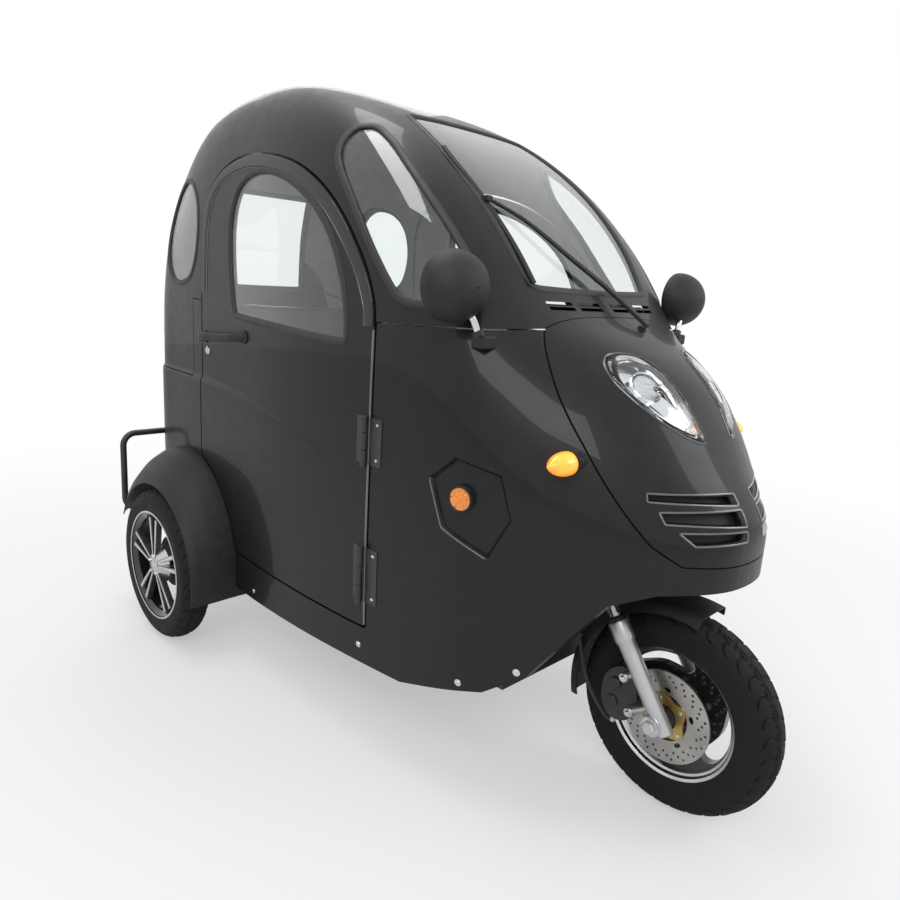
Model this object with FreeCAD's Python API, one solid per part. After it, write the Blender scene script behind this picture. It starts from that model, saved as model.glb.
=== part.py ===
# Enclosed electric cabin tricycle: one steered front wheel, two rear wheels, a moulded cabin with two doors.
# Millimetres. Ground at zero height, forward is -Y, the right-hand side of the vehicle is -X.

import math
import os

import FreeCAD
import Part
import Sketcher

V = FreeCAD.Vector
doc = FreeCAD.newDocument("cabin_tricycle")
sheet = doc.addObject("Spreadsheet::Sheet", "Sizes")

# Driving sizes, each written once
SIZES = {
    # Body lines
    "cabin_half_width": 396.0,
    "roof_height": 1453.0,
    "screen_foot": 455.0,
    "nose_reach": 340.0,
    "cabin_run": 1340.0,
    "wall": 18.0,
    "glass_thick": 5.0,
    "glass_inset": 3.0,
    "bulkhead_y": -420.0,
    "belt_height": 920.0,
    # Doors
    "door_front": -192.0,
    "door_rear": 547.0,
    "door_sill": 285.0,
    "door_gap": 5.0,
    "hinge_outset": 13.0,
    "hinge_radius": 7.0,
    # Front end
    "front_axle_y": -700.0,
    "front_tyre_radius": 206.0,
    "front_tyre_width": 76.0,
    "front_rim_radius": 139.0,
    "rake": 35.0,
    "fork_offset": 35.0,
    "leg_spread": 84.0,
    "leg_radius": 17.0,
    "stanchion_radius": 13.0,
    "disc_radius": 92.0,
    # Rear end
    "rear_axle_y": 577.0,
    "rear_tyre_radius": 204.6,
    "rear_tyre_width": 77.0,
    "rear_rim_radius": 148.0,
    "rear_track": 938.0,
    "axle_tube_radius": 26.0,
}
for row, (name, value) in enumerate(SIZES.items(), start=1):
    sheet.set(f"A{row}", name)
    sheet.set(f"B{row}", str(value))
    sheet.setAlias(f"B{row}", name)
doc.recompute()


def size(name):
    """The value of one named size in the sheet."""
    return float(getattr(sheet, name))


# Body lines: share of the run from the screen foot, then half width as a share of the cabin's,
# mid height and crown height as shares of the roof height, and the roundness of the section
NOSE_LINES = (
    (1.000, 0.126, 0.385, 0.420, 2.20),
    (0.956, 0.240, 0.385, 0.440, 2.10),
    (0.838, 0.404, 0.385, 0.478, 2.05),
    (0.603, 0.621, 0.392, 0.564, 2.10),
    (0.309, 0.778, 0.403, 0.617, 2.50),
    (0.132, 0.843, 0.413, 0.637, 2.90),
    (0.000, 0.884, 0.427, 0.654, 3.40),
)
CABIN_LINES = (
    (0.071, 0.937, 0.454, 0.731, 3.9),
    (0.210, 0.980, 0.482, 0.857, 4.4),
    (0.340, 1.000, 0.482, 0.926, 4.5),
    (0.489, 0.992, 0.482, 0.974, 4.4),
    (0.638, 0.960, 0.482, 1.000, 4.2),
    (0.787, 0.932, 0.482, 0.992, 4.1),
    (0.899, 0.919, 0.482, 0.947, 4.1),
    (0.959, 0.894, 0.482, 0.878, 3.9),
    (0.985, 0.808, 0.482, 0.778, 3.5),
    (1.000, 0.640, 0.482, 0.700, 3.2),
)
WIDE = 700.0
FLOOR_DROP = 50.0
TUCK = 0.05
LINE_CENTRE = V(0.0, 40.0, 700.0)


def body_stations():
    """Rows of station, half width, mid height, crown height and roundness, front to rear."""
    foot = size("screen_foot")
    half = size("cabin_half_width")
    roof = size("roof_height")
    rows = []
    for share, wide, mid, crown, power in NOSE_LINES:
        rows.append((-foot - share * size("nose_reach"), wide * half, mid * roof, crown * roof, power))
    for share, wide, mid, crown, power in CABIN_LINES:
        rows.append((-foot + share * size("cabin_run"), wide * half, mid * roof, crown * roof, power))
    return rows


def section_wire(y, half, mid, crown, power, floor):
    """Closed section of the body across the vehicle: one rounded line over the top, straight underneath."""
    side = []
    for step in (1.0, 0.72, 0.45, 0.2):
        side.append((half * (1.0 - TUCK * step ** 3), mid - (mid - floor) * step))
    for angle in (0, 14, 28, 40, 52, 65, 78):
        turn = math.radians(angle)
        side.append((half * math.cos(turn) ** (2.0 / power), mid + (crown - mid) * math.sin(turn) ** (2.0 / power)))
    points = [V(-x, y, z) for x, z in side]
    points.append(V(0.0, y, crown))
    points.extend(V(x, y, z) for x, z in reversed(side))
    curve = Part.BSplineCurve()
    curve.interpolate(points)
    return Part.Wire([curve.toShape(), Part.makeLine(points[-1], points[0])])


def body_solid(inset):
    """The whole body form drawn in by an inset, as one lofted solid."""
    rows = body_stations()
    front, rear = rows[0][0], rows[-1][0]
    reach = (rear - front) / 2.0
    half = size("cabin_half_width")
    roof = size("roof_height")
    shrink_y = 1.0 - inset / reach
    shrink_x = 1.0 - inset / half
    shrink_z = 1.0 - inset / (roof - LINE_CENTRE.z)
    middle = (rear + front) / 2.0
    wires = []
    for y, wide, mid, crown, power in rows:
        wires.append(section_wire(
            middle + (y - middle) * shrink_y,
            wide * shrink_x,
            LINE_CENTRE.z + (mid - LINE_CENTRE.z) * shrink_z,
            LINE_CENTRE.z + (crown - LINE_CENTRE.z) * shrink_z,
            power,
            FLOOR_DROP,
        ))
    right_half = Part.makeBox(WIDE, 3000, 3000, V(-WIDE, -1500, -500))
    return Part.makeLoft(wires, True, False).common(right_half)


def side_prism(points, x_low, x_high, smooth=False):
    """A prism across the vehicle from an outline in side view."""
    corners = [V(x_low, y, z) for y, z in points]
    if smooth:
        curve = Part.BSplineCurve()
        curve.interpolate(corners, PeriodicFlag=True)
        wire = Part.Wire(curve.toShape())
    else:
        wire = Part.makePolygon(corners + [corners[0]])
    return Part.Face(wire).extrude(V(x_high - x_low, 0, 0))


def front_prism(points, y_low, y_high, smooth=False):
    """A prism along the vehicle from an outline in front view."""
    corners = [V(x, y_low, z) for x, z in points]
    if smooth:
        curve = Part.BSplineCurve()
        curve.interpolate(corners, PeriodicFlag=True)
        wire = Part.Wire(curve.toShape())
    else:
        wire = Part.makePolygon(corners + [corners[0]])
    return Part.Face(wire).extrude(V(0, y_high - y_low, 0))


def offset_outline(points, distance):
    """An outline drawn out by a distance, or in when it is negative."""
    wire = Part.makePolygon([V(a, b, 0) for a, b in points] + [V(points[0][0], points[0][1], 0)])
    moved = wire.makeOffset2D(distance, join=0) if distance > 0 else wire.makeOffset2D(distance, join=2)
    corners = []
    for edge in moved.OrderedEdges:
        count = 2 if edge.Curve.TypeId == "Part::GeomLine" else 5
        pts = edge.discretize(count)
        if edge.Orientation == "Reversed":
            pts.reverse()
        corners.extend((p.x, p.y) for p in pts[:-1])
    return corners


def mirror_x(shape):
    """The same shape on the other side of the vehicle."""
    return shape.mirror(V(0, 0, 0), V(1, 0, 0))


def both_sides(shape):
    """The shape and its mirror image as one group of solids."""
    return Part.makeCompound([shape, mirror_x(shape)])


def whole(half):
    """A right-hand half joined to its mirror image at the middle of the vehicle."""
    return half.fuse(mirror_x(half))


def tube(points, radius, bend=0.0):
    """A round bar along straight runs, joined by round bends."""
    return Part.makeCompound([]) if not points else bar_along(points, radius, bend)


def bar_along(points, radius, bend):
    """A solid bar swept along a line with rounded corners."""
    edges = []
    start = V(*points[0])
    for index in range(1, len(points) - 1):
        before, corner, after = V(*points[index - 1]), V(*points[index]), V(*points[index + 1])
        into = (before - corner).normalize()
        out = (after - corner).normalize()
        half_angle = into.getAngle(out) / 2.0
        back = bend / math.tan(half_angle)
        first = corner + into * back
        last = corner + out * back
        bisector = (into + out).normalize()
        centre = corner + bisector * (bend / math.sin(half_angle))
        middle = centre - bisector * bend
        edges.append(Part.makeLine(start, first))
        edges.append(Part.Arc(first, middle, last).toShape())
        start = last
    edges.append(Part.makeLine(start, V(*points[-1])))
    path = Part.Wire(edges)
    direction = (V(*points[1]) - V(*points[0])).normalize()
    ring = Part.Wire(Part.makeCircle(radius, V(*points[0]), direction))
    return path.makePipeShell([ring], True, True)


def box(x0, x1, y0, y1, z0, z1):
    """A box between two corners."""
    return Part.makeBox(x1 - x0, y1 - y0, z1 - z0, V(x0, y0, z0))


def add(name, shape):
    """A sub-part of the document with its shape."""
    item = doc.addObject("Part::Feature", name)
    item.Shape = shape
    item.Label = name
    return item


SMALL_FIT = 0.3
DOOR_REAR_CORNER = (622.0, 236.0, 275.0)
wall = size("wall")
belt = size("belt_height")
door_front = size("door_front")
door_rear = size("door_rear")
door_sill = size("door_sill")

# Lower edge of the body in side view
BELOW = [
    (-1000, 505), (-722, 500), (-664, 476), (-556, 318), (-480, 262), (-290, 208), (-190, 204),
    (270, 188), (420, 188), (520, 330), (1000, 330), (1000, -100), (-1000, -100),
]


def corner_arc(radius, low, steps):
    """Points of the rounded lower rear corner of the door, from the rear edge down to the sill."""
    centre_y, centre_z, _ = DOOR_REAR_CORNER
    start = math.acos((door_rear - centre_y) / radius)
    end = math.pi - math.asin((low - centre_z) / radius)
    points = []
    for step in range(steps + 1):
        turn = start + (end - start) * step / steps
        points.append((centre_y + radius * math.cos(turn), centre_z + radius * math.sin(turn)))
    return points


# Outlines in side view, the door first: front edge, arch over the window, rear edge, corner round the fender
DOOR = [
    (door_front, door_sill), (door_front, 910), (-183, 960), (-155, 1015), (-122, 1058), (-90, 1094), (-45, 1136),
    (5, 1172), (65, 1204), (127, 1228), (200, 1246), (271, 1255), (340, 1258), (406, 1250), (462, 1232), (504, 1204),
    (530, 1168), (543, 1125), (door_rear, 1070),
] + corner_arc(DOOR_REAR_CORNER[2], door_sill, 8)
WINDOW = [
    (362, 886), (382, 960), (394, 1040), (397, 1100), (388, 1150), (365, 1188), (321, 1212), (255, 1220), (175, 1208),
    (90, 1176), (16, 1131), (-45, 1073), (-86, 997), (-105, 932), (-106, 885), (-92, 862), (51, 868), (197, 876),
    (330, 880),
]
QUARTER = [
    (-19, 1296), (2, 1285), (8, 1250), (-11, 1209), (-77, 1139), (-153, 1046), (-219, 972), (-245, 955), (-293, 948),
    (-325, 955), (-372, 990), (-311, 1070), (-232, 1150), (-125, 1240), (-60, 1288),
]
OVAL = [
    (719, 1222), (770, 1190), (795, 1130), (802, 1080), (795, 1010), (760, 962), (725, 948), (685, 945), (621, 961),
    (585, 1008), (569, 1088), (586, 1163), (632, 1207), (675, 1222),
]
SEAM_LINE = [(-458, 925), (-536, 817), (-592, 745), (-636, 684), (-673, 634), (-707, 588), (-745, 574), (-900, 570)]
HEXAGON = [(-344, 648), (-401, 697), (-488, 679), (-512, 600), (-474, 521), (-378, 559)]
# Outlines in front view
SCREEN = [
    (-188, 1334), (-213, 1233), (-214, 1130), (-208, 1051), (-190, 997), (190, 997), (208, 1051), (214, 1130),
    (213, 1233), (188, 1334),
]
REAR_WINDOW = [
    (-150, 960), (-135, 940), (135, 940), (150, 960), (150, 1215), (135, 1235), (-135, 1235), (-150, 1215),
]
HEADLIGHT = [
    (-176, 849), (-169, 873), (-149, 888), (-127, 892), (-97, 892), (-68, 884), (-56, 865), (-52, 831), (-48, 790),
    (-43, 745), (-68, 746), (-107, 763), (-141, 789), (-164, 819),
]
SLOTS = (
    [(-196, 674), (-30, 666), (-30, 648), (-198, 661)],
    [(-184, 644), (-30, 641), (-30, 614), (-178, 625)],
    [(-158, 610), (-30, 606), (-30, 588), (-136, 588)],
)
VENT = [(-176, 972), (-20, 972), (-20, 958), (-176, 958)]


def make_body_panels():
    """The moulded body split where its panels meet, the doors and all the glass."""
    outer = body_solid(0.0)
    inner = body_solid(wall)
    skin = body_solid(size("glass_inset"))
    glass_band = skin.cut(body_solid(size("glass_inset") + size("glass_thick")))
    shell = outer.cut(inner).cut(side_prism(BELOW, -WIDE, WIDE))
    lap("lofts")

    door_hole = side_prism(DOOR, -WIDE, 0)
    door_block = side_prism(offset_outline(DOOR, -size("door_gap")), -WIDE, 0)
    window_hole = side_prism(WINDOW, -WIDE, 0)
    window_block = side_prism(offset_outline(WINDOW, -SMALL_FIT), -WIDE, 0)
    door = shell.common(door_block).cut(window_hole)
    door_glass = glass_band.common(window_block)
    frame = shell.cut(door_hole)
    lap("doors")

    bonnet_region = side_prism([(-458, 1100)] + SEAM_LINE + [(-900, 1100)], -WIDE, 10)
    upper_region = side_prism(
        [(-458, 2000), (-458, 925), (-422, belt + 1), (-200, belt - 6), (600, belt - 6), (600, 710), (1000, 710),
         (1000, 2000)], -WIDE, 10)
    cowl_region = side_prism(
        [(-458, 925), (-422, belt + 1), (-200, belt - 6), (door_front + 1, belt - 6), (door_front + 1, 100),
         (-1000, 100), (-1000, 1100), (-458, 1100)], -WIDE, 10)
    sill_region = box(-WIDE, 10, door_front + 1, 347, 100, 400)
    bonnet = frame.common(bonnet_region)
    cabin = frame.common(upper_region)
    cowl = frame.common(cowl_region).cut(bonnet_region)
    rear = frame.cut(upper_region).cut(cowl_region).cut(bonnet_region)
    sill = rear.common(sill_region)
    rear = rear.cut(sill_region)
    lap("panels")

    quarter_hole = side_prism(QUARTER, -WIDE, -200)
    quarter_block = side_prism(offset_outline(QUARTER, -SMALL_FIT), -WIDE, -200)
    oval_hole = side_prism(OVAL, -WIDE, -200, True)
    screen_hole = front_prism(SCREEN, -900, 60)
    rear_hole = front_prism(REAR_WINDOW, 500, 1000)
    cabin = cabin.cut([quarter_hole, oval_hole, screen_hole, rear_hole, front_prism(VENT, -900, 60)])
    screen = glass_band.common(front_prism(offset_outline(SCREEN, -SMALL_FIT), -900, 60))
    quarter = glass_band.common(quarter_block)
    oval = glass_band.common(oval_hole)
    rear_glass = glass_band.common(front_prism(offset_outline(REAR_WINDOW, -SMALL_FIT), 500, 1000))
    lap("glass")

    lamp_hole = front_prism(HEADLIGHT, -900, -300, True)
    lamp = bonnet.common(lamp_hole)
    bonnet = bonnet.cut([lamp_hole] + [front_prism(slot, -900, -500) for slot in SLOTS])
    recess = outer.common(side_prism(HEXAGON, -WIDE, -200)).cut(skin)
    cowl = cowl.cut(recess)
    lap("lamps")

    add("cabin_shell", whole(cabin))
    add("bonnet", whole(bonnet))
    add("front_cowl", whole(cowl))
    add("rear_body", whole(rear))
    add("sill_panels", both_sides(sill))
    add("windscreen", whole(screen))
    add("side_glass", Part.makeCompound(both_sides(quarter).Solids + both_sides(oval).Solids))
    add("rear_glass", whole(rear_glass))
    add("headlights", both_sides(lamp))
    add("door_right", door)
    add("door_right_glass", door_glass)
    add("door_left", mirror_x(door))
    add("door_left_glass", mirror_x(door_glass))
    lap("whole")
    return outer, inner, skin


def make_inside(inner):
    """Floor, bulkhead, seat, battery and dashboard."""
    front = size("bulkhead_y")
    floor = inner.common(box(-WIDE, 0, front, 380, 256, 264))
    riser = inner.common(box(-WIDE, 0, 374, 380, 264, 452))
    deck = inner.common(box(-WIDE, 0, 380, 880, 446, 452))
    bulkhead = inner.common(box(-WIDE, 0, front, front + 6, 264, 900))
    bulkhead = bulkhead.cut(Part.makeCylinder(48, 240, steer_point(360), UP))
    tread = box(-290, 0, -395, 110, 264, 266)
    add("floor_pan", whole(floor.fuse([riser, deck, bulkhead, tread])))
    dash = inner.common(box(-WIDE, 0, front + 6, front + 86, 862, 900))
    add("dashboard", whole(dash))
    base = box(-230, 230, 130, 374, 264, 560).fuse(box(-230, 230, 380, 640, 452, 560))
    base = base.fuse(box(-230, 230, 370, 385, 452, 560))
    base = base.cut(box(-220, 220, 140, 364, 264, 550))
    add("seat_base", base)
    add("battery", box(-190, 190, 160, 350, 264, 480))
    cushion = box(-240, 240, 105, 545, 560.3, 650)
    cushion = cushion.makeFillet(30, [e for e in cushion.Edges if e.BoundBox.ZMin > 600 and e.BoundBox.YMin < 540])
    add("seat_cushion", cushion)
    back = Part.makeBox(460, 75, 400, V(-230, 0, -20))
    back = back.makeFillet(28, [e for e in back.Edges if e.BoundBox.ZMax > 0])
    back.Placement = FreeCAD.Placement(V(0, 546, 560), FreeCAD.Rotation(V(1, 0, 0), -9))
    back = back.cut([box(-400, 400, 300, 900, 400, 560.3), box(-400, 400, 300, 545.3, 500, 660)])
    add("seat_back", back)


def make_frame():
    """Welded frame: rails, cross members, head tube and its struts."""
    parts = []
    front = size("bulkhead_y")
    for sign in (-1, 1):
        x0, x1 = sorted((sign * 200, sign * 240))
        parts.append(box(x0, x1, -450, 421, 216, 256))
        parts.append(box(x0, x1, 381, 421, 216, 446))
        parts.append(box(x0, x1, 381, 850, 406, 446))
        parts.append(box(x0 + 10, x1 - 10, 830, 850, 255, 446))
        parts.append(box(x0 + 10, x1 - 10, 830, 897, 255, 290))
        parts.append(Part.makeCylinder(8, 290, V(sign * 60, front - 9, 250)))
    parts.append(box(-70, 70, front - 17, front - 1, 515, 565))
    for y in (-450, -140, 130, 330):
        parts.append(box(-240, 240, y, y + 40, 216, 256))
    parts.append(box(-240, 240, 810, 850, 406, 446))
    head_low = steer_point(370)
    head_length = 84
    head = Part.makeCylinder(28, head_length, head_low, UP)
    bore = Part.makeCylinder(17, head_length + 80, steer_point(330), UP)
    bumper_run = Part.makeCylinder(9, 600, V(-300, 897, 268), V(1, 0, 0))
    bracket_bore = Part.makeCylinder(6, 600, V(-300, 865, 272.5), V(1, 0, 0))
    frame = parts[0].fuse(parts[1:] + [head]).cut([bore, bumper_run, bracket_bore])
    add("frame", frame)


def tyre_profile(radius, width, bead):
    """Closed tyre section, width along X and radius along Z, as one rounded outline."""
    half = width / 2.0
    points = [
        (half * 0.72, bead), (half * 0.94, bead + (radius - bead) * 0.28), (half, bead + (radius - bead) * 0.52),
        (half * 0.88, bead + (radius - bead) * 0.80), (half * 0.5, radius - 3.5), (0.0, radius),
    ]
    right = [V(x, 0, z) for x, z in points]
    left = [V(-p.x, 0, p.z) for p in reversed(right[:-1])]
    curve = Part.BSplineCurve()
    curve.interpolate(right + left)
    return Part.Wire([curve.toShape(), Part.makeLine(left[-1], right[0])])


def spun(wire):
    """A profile spun about the X axis."""
    return Part.Face(wire).revolve(V(0, 0, 0), V(1, 0, 0), 360)


def polygon_xz(points):
    """A closed profile in the XZ plane."""
    corners = [V(x, 0, z) for x, z in points]
    return Part.makePolygon(corners + [corners[0]])


def placed(shape, x, y, z):
    """The shape moved to a place."""
    moved = shape.copy()
    moved.translate(V(x, y, z))
    return moved


def make_front_wheel():
    """Tyre, cast wheel with three wide spokes and the brake disc."""
    radius = size("front_tyre_radius")
    rim = size("front_rim_radius")
    bead = rim - 5
    centre = (0, size("front_axle_y"), radius)
    barrel = spun(polygon_xz([
        (-34, rim), (-34, rim - 7), (-22, rim - 14), (22, rim - 14), (34, rim - 7), (34, rim), (29, rim), (26, bead - 0.3),
        (-26, bead - 0.3), (-29, rim)]))
    tyre = spun(tyre_profile(radius, size("front_tyre_width"), bead)).cut(barrel)
    add("front_tyre", placed(tyre, *centre))
    hub = Part.makeCylinder(34, 60, V(-30, 0, 0), V(1, 0, 0))
    web = Part.makeCylinder(rim - 10, 16, V(-8, 0, 0), V(1, 0, 0))
    for turn in range(3):
        hole = front_wheel_opening(rim)
        hole.rotate(V(0, 0, 0), V(1, 0, 0), 120 * turn + 30)
        web = web.cut(hole)
    wheel = barrel.fuse([web, hub]).cut(Part.makeCylinder(10.3, 100, V(-50, 0, 0), V(1, 0, 0)))
    add("front_rim", placed(wheel, *centre))
    disc_radius = size("disc_radius")
    disc = Part.makeCylinder(disc_radius, 4, V(-49, 0, 0), V(1, 0, 0))
    disc = disc.cut(Part.makeCylinder(disc_radius - 34, 10, V(-52, 0, 0), V(1, 0, 0)))
    carrier = Part.makeCylinder(disc_radius - 34, 5, V(-49, 0, 0), V(1, 0, 0))
    carrier = carrier.cut(Part.makeCylinder(25, 30, V(-60, 0, 0), V(1, 0, 0)))
    neck = Part.makeCylinder(33, 19, V(-49, 0, 0), V(1, 0, 0)).cut(Part.makeCylinder(25, 30, V(-60, 0, 0), V(1, 0, 0)))
    add("brake_disc", placed(disc.fuse([carrier, neck]), *centre))


def front_wheel_opening(rim):
    """One wide rounded opening of the cast front wheel."""
    outer_radius = rim - 26
    inner_radius = 52
    spread = math.radians(38)
    arc_out = Part.Arc(
        V(-20, -outer_radius * math.sin(spread), outer_radius * math.cos(spread)), V(-20, 0, outer_radius),
        V(-20, outer_radius * math.sin(spread), outer_radius * math.cos(spread))).toShape()
    inner_spread = math.radians(14)
    arc_in = Part.Arc(
        V(-20, inner_radius * math.sin(inner_spread), inner_radius * math.cos(inner_spread)), V(-20, 0, inner_radius),
        V(-20, -inner_radius * math.sin(inner_spread), inner_radius * math.cos(inner_spread))).toShape()
    wire = Part.Wire([
        arc_out, Part.makeLine(arc_out.Vertexes[-1].Point, arc_in.Vertexes[0].Point), arc_in,
        Part.makeLine(arc_in.Vertexes[-1].Point, arc_out.Vertexes[0].Point)])
    hole = Part.Face(wire).extrude(V(40, 0, 0))
    return hole.makeFillet(12, [e for e in hole.Edges if abs(e.tangentAt(e.FirstParameter).x) > 0.9])


def make_rear_wheels():
    """Tyre and alloy wheel on each side."""
    radius = size("rear_tyre_radius")
    rim = size("rear_rim_radius")
    bead = rim - 5
    barrel = spun(polygon_xz([
        (-38, rim), (-38, rim - 6), (-30, rim - 12), (20, rim - 22), (36, rim - 8), (36, rim), (30, rim), (26, bead - 0.3),
        (-26, bead - 0.3), (-30, rim)]))
    hub = Part.makeCylinder(30, 24, V(-32, 0, 0), V(1, 0, 0))
    plate = Part.makeCylinder(52, 8, V(-16, 0, 0), V(1, 0, 0))
    spoke = Part.makeBox(12, 9, rim - 24, V(-34, -4.5, 12))
    spokes = []
    for turn in range(5):
        for side in (-9, 9):
            arm = spoke.copy()
            arm.rotate(V(0, 0, 0), V(1, 0, 0), 72 * turn + side)
            spokes.append(arm)
    wheel = barrel.fuse([hub, plate] + spokes).cut(Part.makeCylinder(12.3, 200, V(-24, 0, 0), V(1, 0, 0)))
    for side, sign in (("right", -1), ("left", 1)):
        centre = (sign * size("rear_track") / 2.0, size("rear_axle_y"), radius)
        tyre = spun(tyre_profile(radius, size("rear_tyre_width"), bead)).cut(barrel if sign < 0 else mirror_x(barrel))
        add(f"rear_tyre_{side}", placed(tyre, *centre))
        add(f"rear_rim_{side}", placed(wheel if sign < 0 else mirror_x(wheel), *centre))


def make_rear_axle():
    """Axle tube, brake drums, gear housing, motor and dampers."""
    y = size("rear_axle_y")
    z = size("rear_tyre_radius")
    half = size("rear_track") / 2.0
    along = V(1, 0, 0)
    axle = Part.makeCylinder(size("axle_tube_radius"), 2 * (half - 50), V(-(half - 50), y, z), along)
    pieces = []
    for sign in (-1, 1):
        start = sign * (half - 50)
        pieces.append(Part.makeCylinder(68, 36, V(start if sign > 0 else start - 36, y, z), along))
        stub = half + 20
        pieces.append(Part.makeCylinder(12, 60, V(sign * stub - (60 if sign > 0 else 0), y, z), along))
    pieces.append(Part.makeCylinder(78, 110, V(20, y, z), along))
    pieces.append(Part.makeCone(78, 40, 60, V(130, y, z), along))
    pieces.append(Part.makeCone(40, 78, 60, V(-40, y, z), along))
    pieces.append(box(30, 120, y - 125, y, z - 20, z + 60))
    pieces.append(Part.makeCylinder(46, 90, V(30, y - 125, z + 22), along))
    add("rear_axle", axle.fuse(pieces))
    motor_y, motor_z = y - 125, z + 22
    motor = Part.makeCylinder(58, 190, V(-190, motor_y, motor_z), along)
    add("motor", motor.fuse(Part.makeCylinder(30, 30, V(0, motor_y, motor_z), along)))
    dampers = []
    for sign in (-1, 1):
        dampers.append(Part.makeCylinder(24, 406 - z - 22, V(sign * 220, y, z + 22)).cut(
            Part.makeCylinder(size("axle_tube_radius"), 600, V(-300, y, z), along)))
    add("dampers", Part.makeCompound(dampers))


def make_fenders(outer):
    """Rear fenders over the wheels, lofted through round sections, and the bumper tube."""
    rings = (
        (-300, 622, 236, 270), (-392, 622, 236, 270), (-440, 610, 228, 258), (-485, 592, 214, 237),
        (-500, 580, 207, 222))

    def cover(drop, extra):
        wires = []
        for index, (x, y, z, radius) in enumerate(rings):
            if index == len(rings) - 1:
                x -= extra
            wires.append(Part.Wire(Part.makeCircle(radius - drop, V(x, y, z), V(-1, 0, 0))))
        return Part.makeLoft(wires, True, False)

    low = side_prism([(0, 155), (560, 155), (740, 290), (1200, 300), (1200, -200), (0, -200)], -WIDE, WIDE)
    fender = cover(0, 0).cut(cover(5, 1)).cut(low).cut(outer)
    pieces = sorted(fender.Solids, key=lambda s: s.Volume)[-1:]
    add("rear_fenders", both_sides(pieces[0]))
    rail = bar_along([
        (-300, 800, 500), (-300, 897, 500), (-452, 897, 500), (-452, 897, 268), (452, 897, 268), (452, 897, 500),
        (300, 897, 500), (300, 800, 500)], 9, 36)
    add("rear_bumper", rail.cut([outer, mirror_x(outer)]))


def make_fork():
    """Legs, clamps, stem, axle, mudguard, brake and handlebar: all that turns with the steering."""
    spread = size("leg_spread")
    legs = []
    tubes = []
    for sign in (-1, 1):
        foot = leg_point(-26, sign * spread)
        leg = Part.makeCylinder(size("leg_radius"), 220, foot, UP)
        collar = Part.makeCylinder(size("leg_radius") + 3, 30, leg_point(172, sign * spread), UP)
        legs.append(leg.fuse(collar))
        tubes.append(Part.makeCylinder(size("stanchion_radius"), 162, leg_point(202, sign * spread), UP))
    axle = Part.makeCylinder(10, 2 * spread + 40, V(-spread - 20, size("front_axle_y"), size("front_tyre_radius")), V(1, 0, 0))
    add("fork_legs", axle.fuse(legs))
    outline = [(-96, 54), (96, 54), (108, 40), (104, 18), (34, -26), (-34, -26), (-104, 18), (-108, 40)]
    plate = Part.Face(Part.makePolygon([V(x, -f, 0) for x, f in outline + outline[:1]])).extrude(V(0, 0, 22))
    plate.Placement = FreeCAD.Placement(steer_point(342), FreeCAD.Rotation(V(1, 0, 0), -math.degrees(RAKE)))
    stem = Part.makeCylinder(16, 443, steer_point(342), UP)
    add("fork_crown", plate.fuse([stem] + tubes))
    stays = []
    for sign in (-1, 1):
        leg = leg_point(120, sign * (spread - 14))
        stays.append(box(*sorted((sign * 44, sign * (spread - 6))), leg.y - 8, leg.y + 50, leg.z - 6, leg.z + 30))
    guard = ring_guard().fuse(stays).cut(legs)
    guard = guard.cut(ring_guard_space())
    add("front_mudguard", guard)
    caliper = box(-74, -30, -632, -575, 165, 245)
    caliper = caliper.cut(box(-53, -44, -700, -598, 100, 300))
    caliper = caliper.cut(Part.makeCylinder(size("disc_radius") + 4, 14, V(-54, size("front_axle_y"), size("front_tyre_radius")), V(1, 0, 0)))
    bracket = box(-74, -57, -700, -610, 190, 225)
    near_rim = Part.makeCylinder(260, 30, V(-40, size("front_axle_y"), size("front_tyre_radius")), V(1, 0, 0))
    near_rim = near_rim.cut(Part.makeCylinder(113, 30, V(-40, size("front_axle_y"), size("front_tyre_radius")), V(1, 0, 0)))
    caliper = caliper.fuse(bracket).cut([legs[0], axle, near_rim])
    add("brake_caliper", caliper)
    hose = bar_along([(-62, -600, 164.7), (-62, -594, 132), (-62, -500, 236), (-62, -480, 404)], 4, 12)
    add("brake_hose", hose)
    bar_centre = steer_point(800)
    bar = bar_along([
        (-300, bar_centre.y + 30, bar_centre.z + 20), (-150, bar_centre.y, bar_centre.z), (150, bar_centre.y, bar_centre.z),
        (300, bar_centre.y + 30, bar_centre.z + 20)], 11, 60)
    pod = box(-70, 70, bar_centre.y - 50, bar_centre.y + 20, bar_centre.z - 20, bar_centre.z + 45)
    pod = pod.makeFillet(12, pod.Edges)
    add("handlebar", bar.fuse(pod).cut(stem))


def ring_guard():
    """A curved guard over the top and rear of the front tyre."""
    radius = size("front_tyre_radius") + 16
    section = polygon_xz([(-50, radius - 20), (-44, radius), (44, radius), (50, radius - 20), (54, radius - 18), (47, radius + 5),
                          (-47, radius + 5), (-54, radius - 18)])
    guard = Part.Face(section).revolve(V(0, 0, 0), V(1, 0, 0), -115)
    guard.rotate(V(0, 0, 0), V(1, 0, 0), 12)
    return placed(guard, 0, size("front_axle_y"), size("front_tyre_radius"))


def ring_guard_space():
    """The room the front tyre turns in, inside its guard."""
    radius = size("front_tyre_radius") + 12
    room = Part.makeCylinder(radius, 88, V(-44, 0, 0), V(1, 0, 0))
    return placed(room, 0, size("front_axle_y"), size("front_tyre_radius"))


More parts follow.
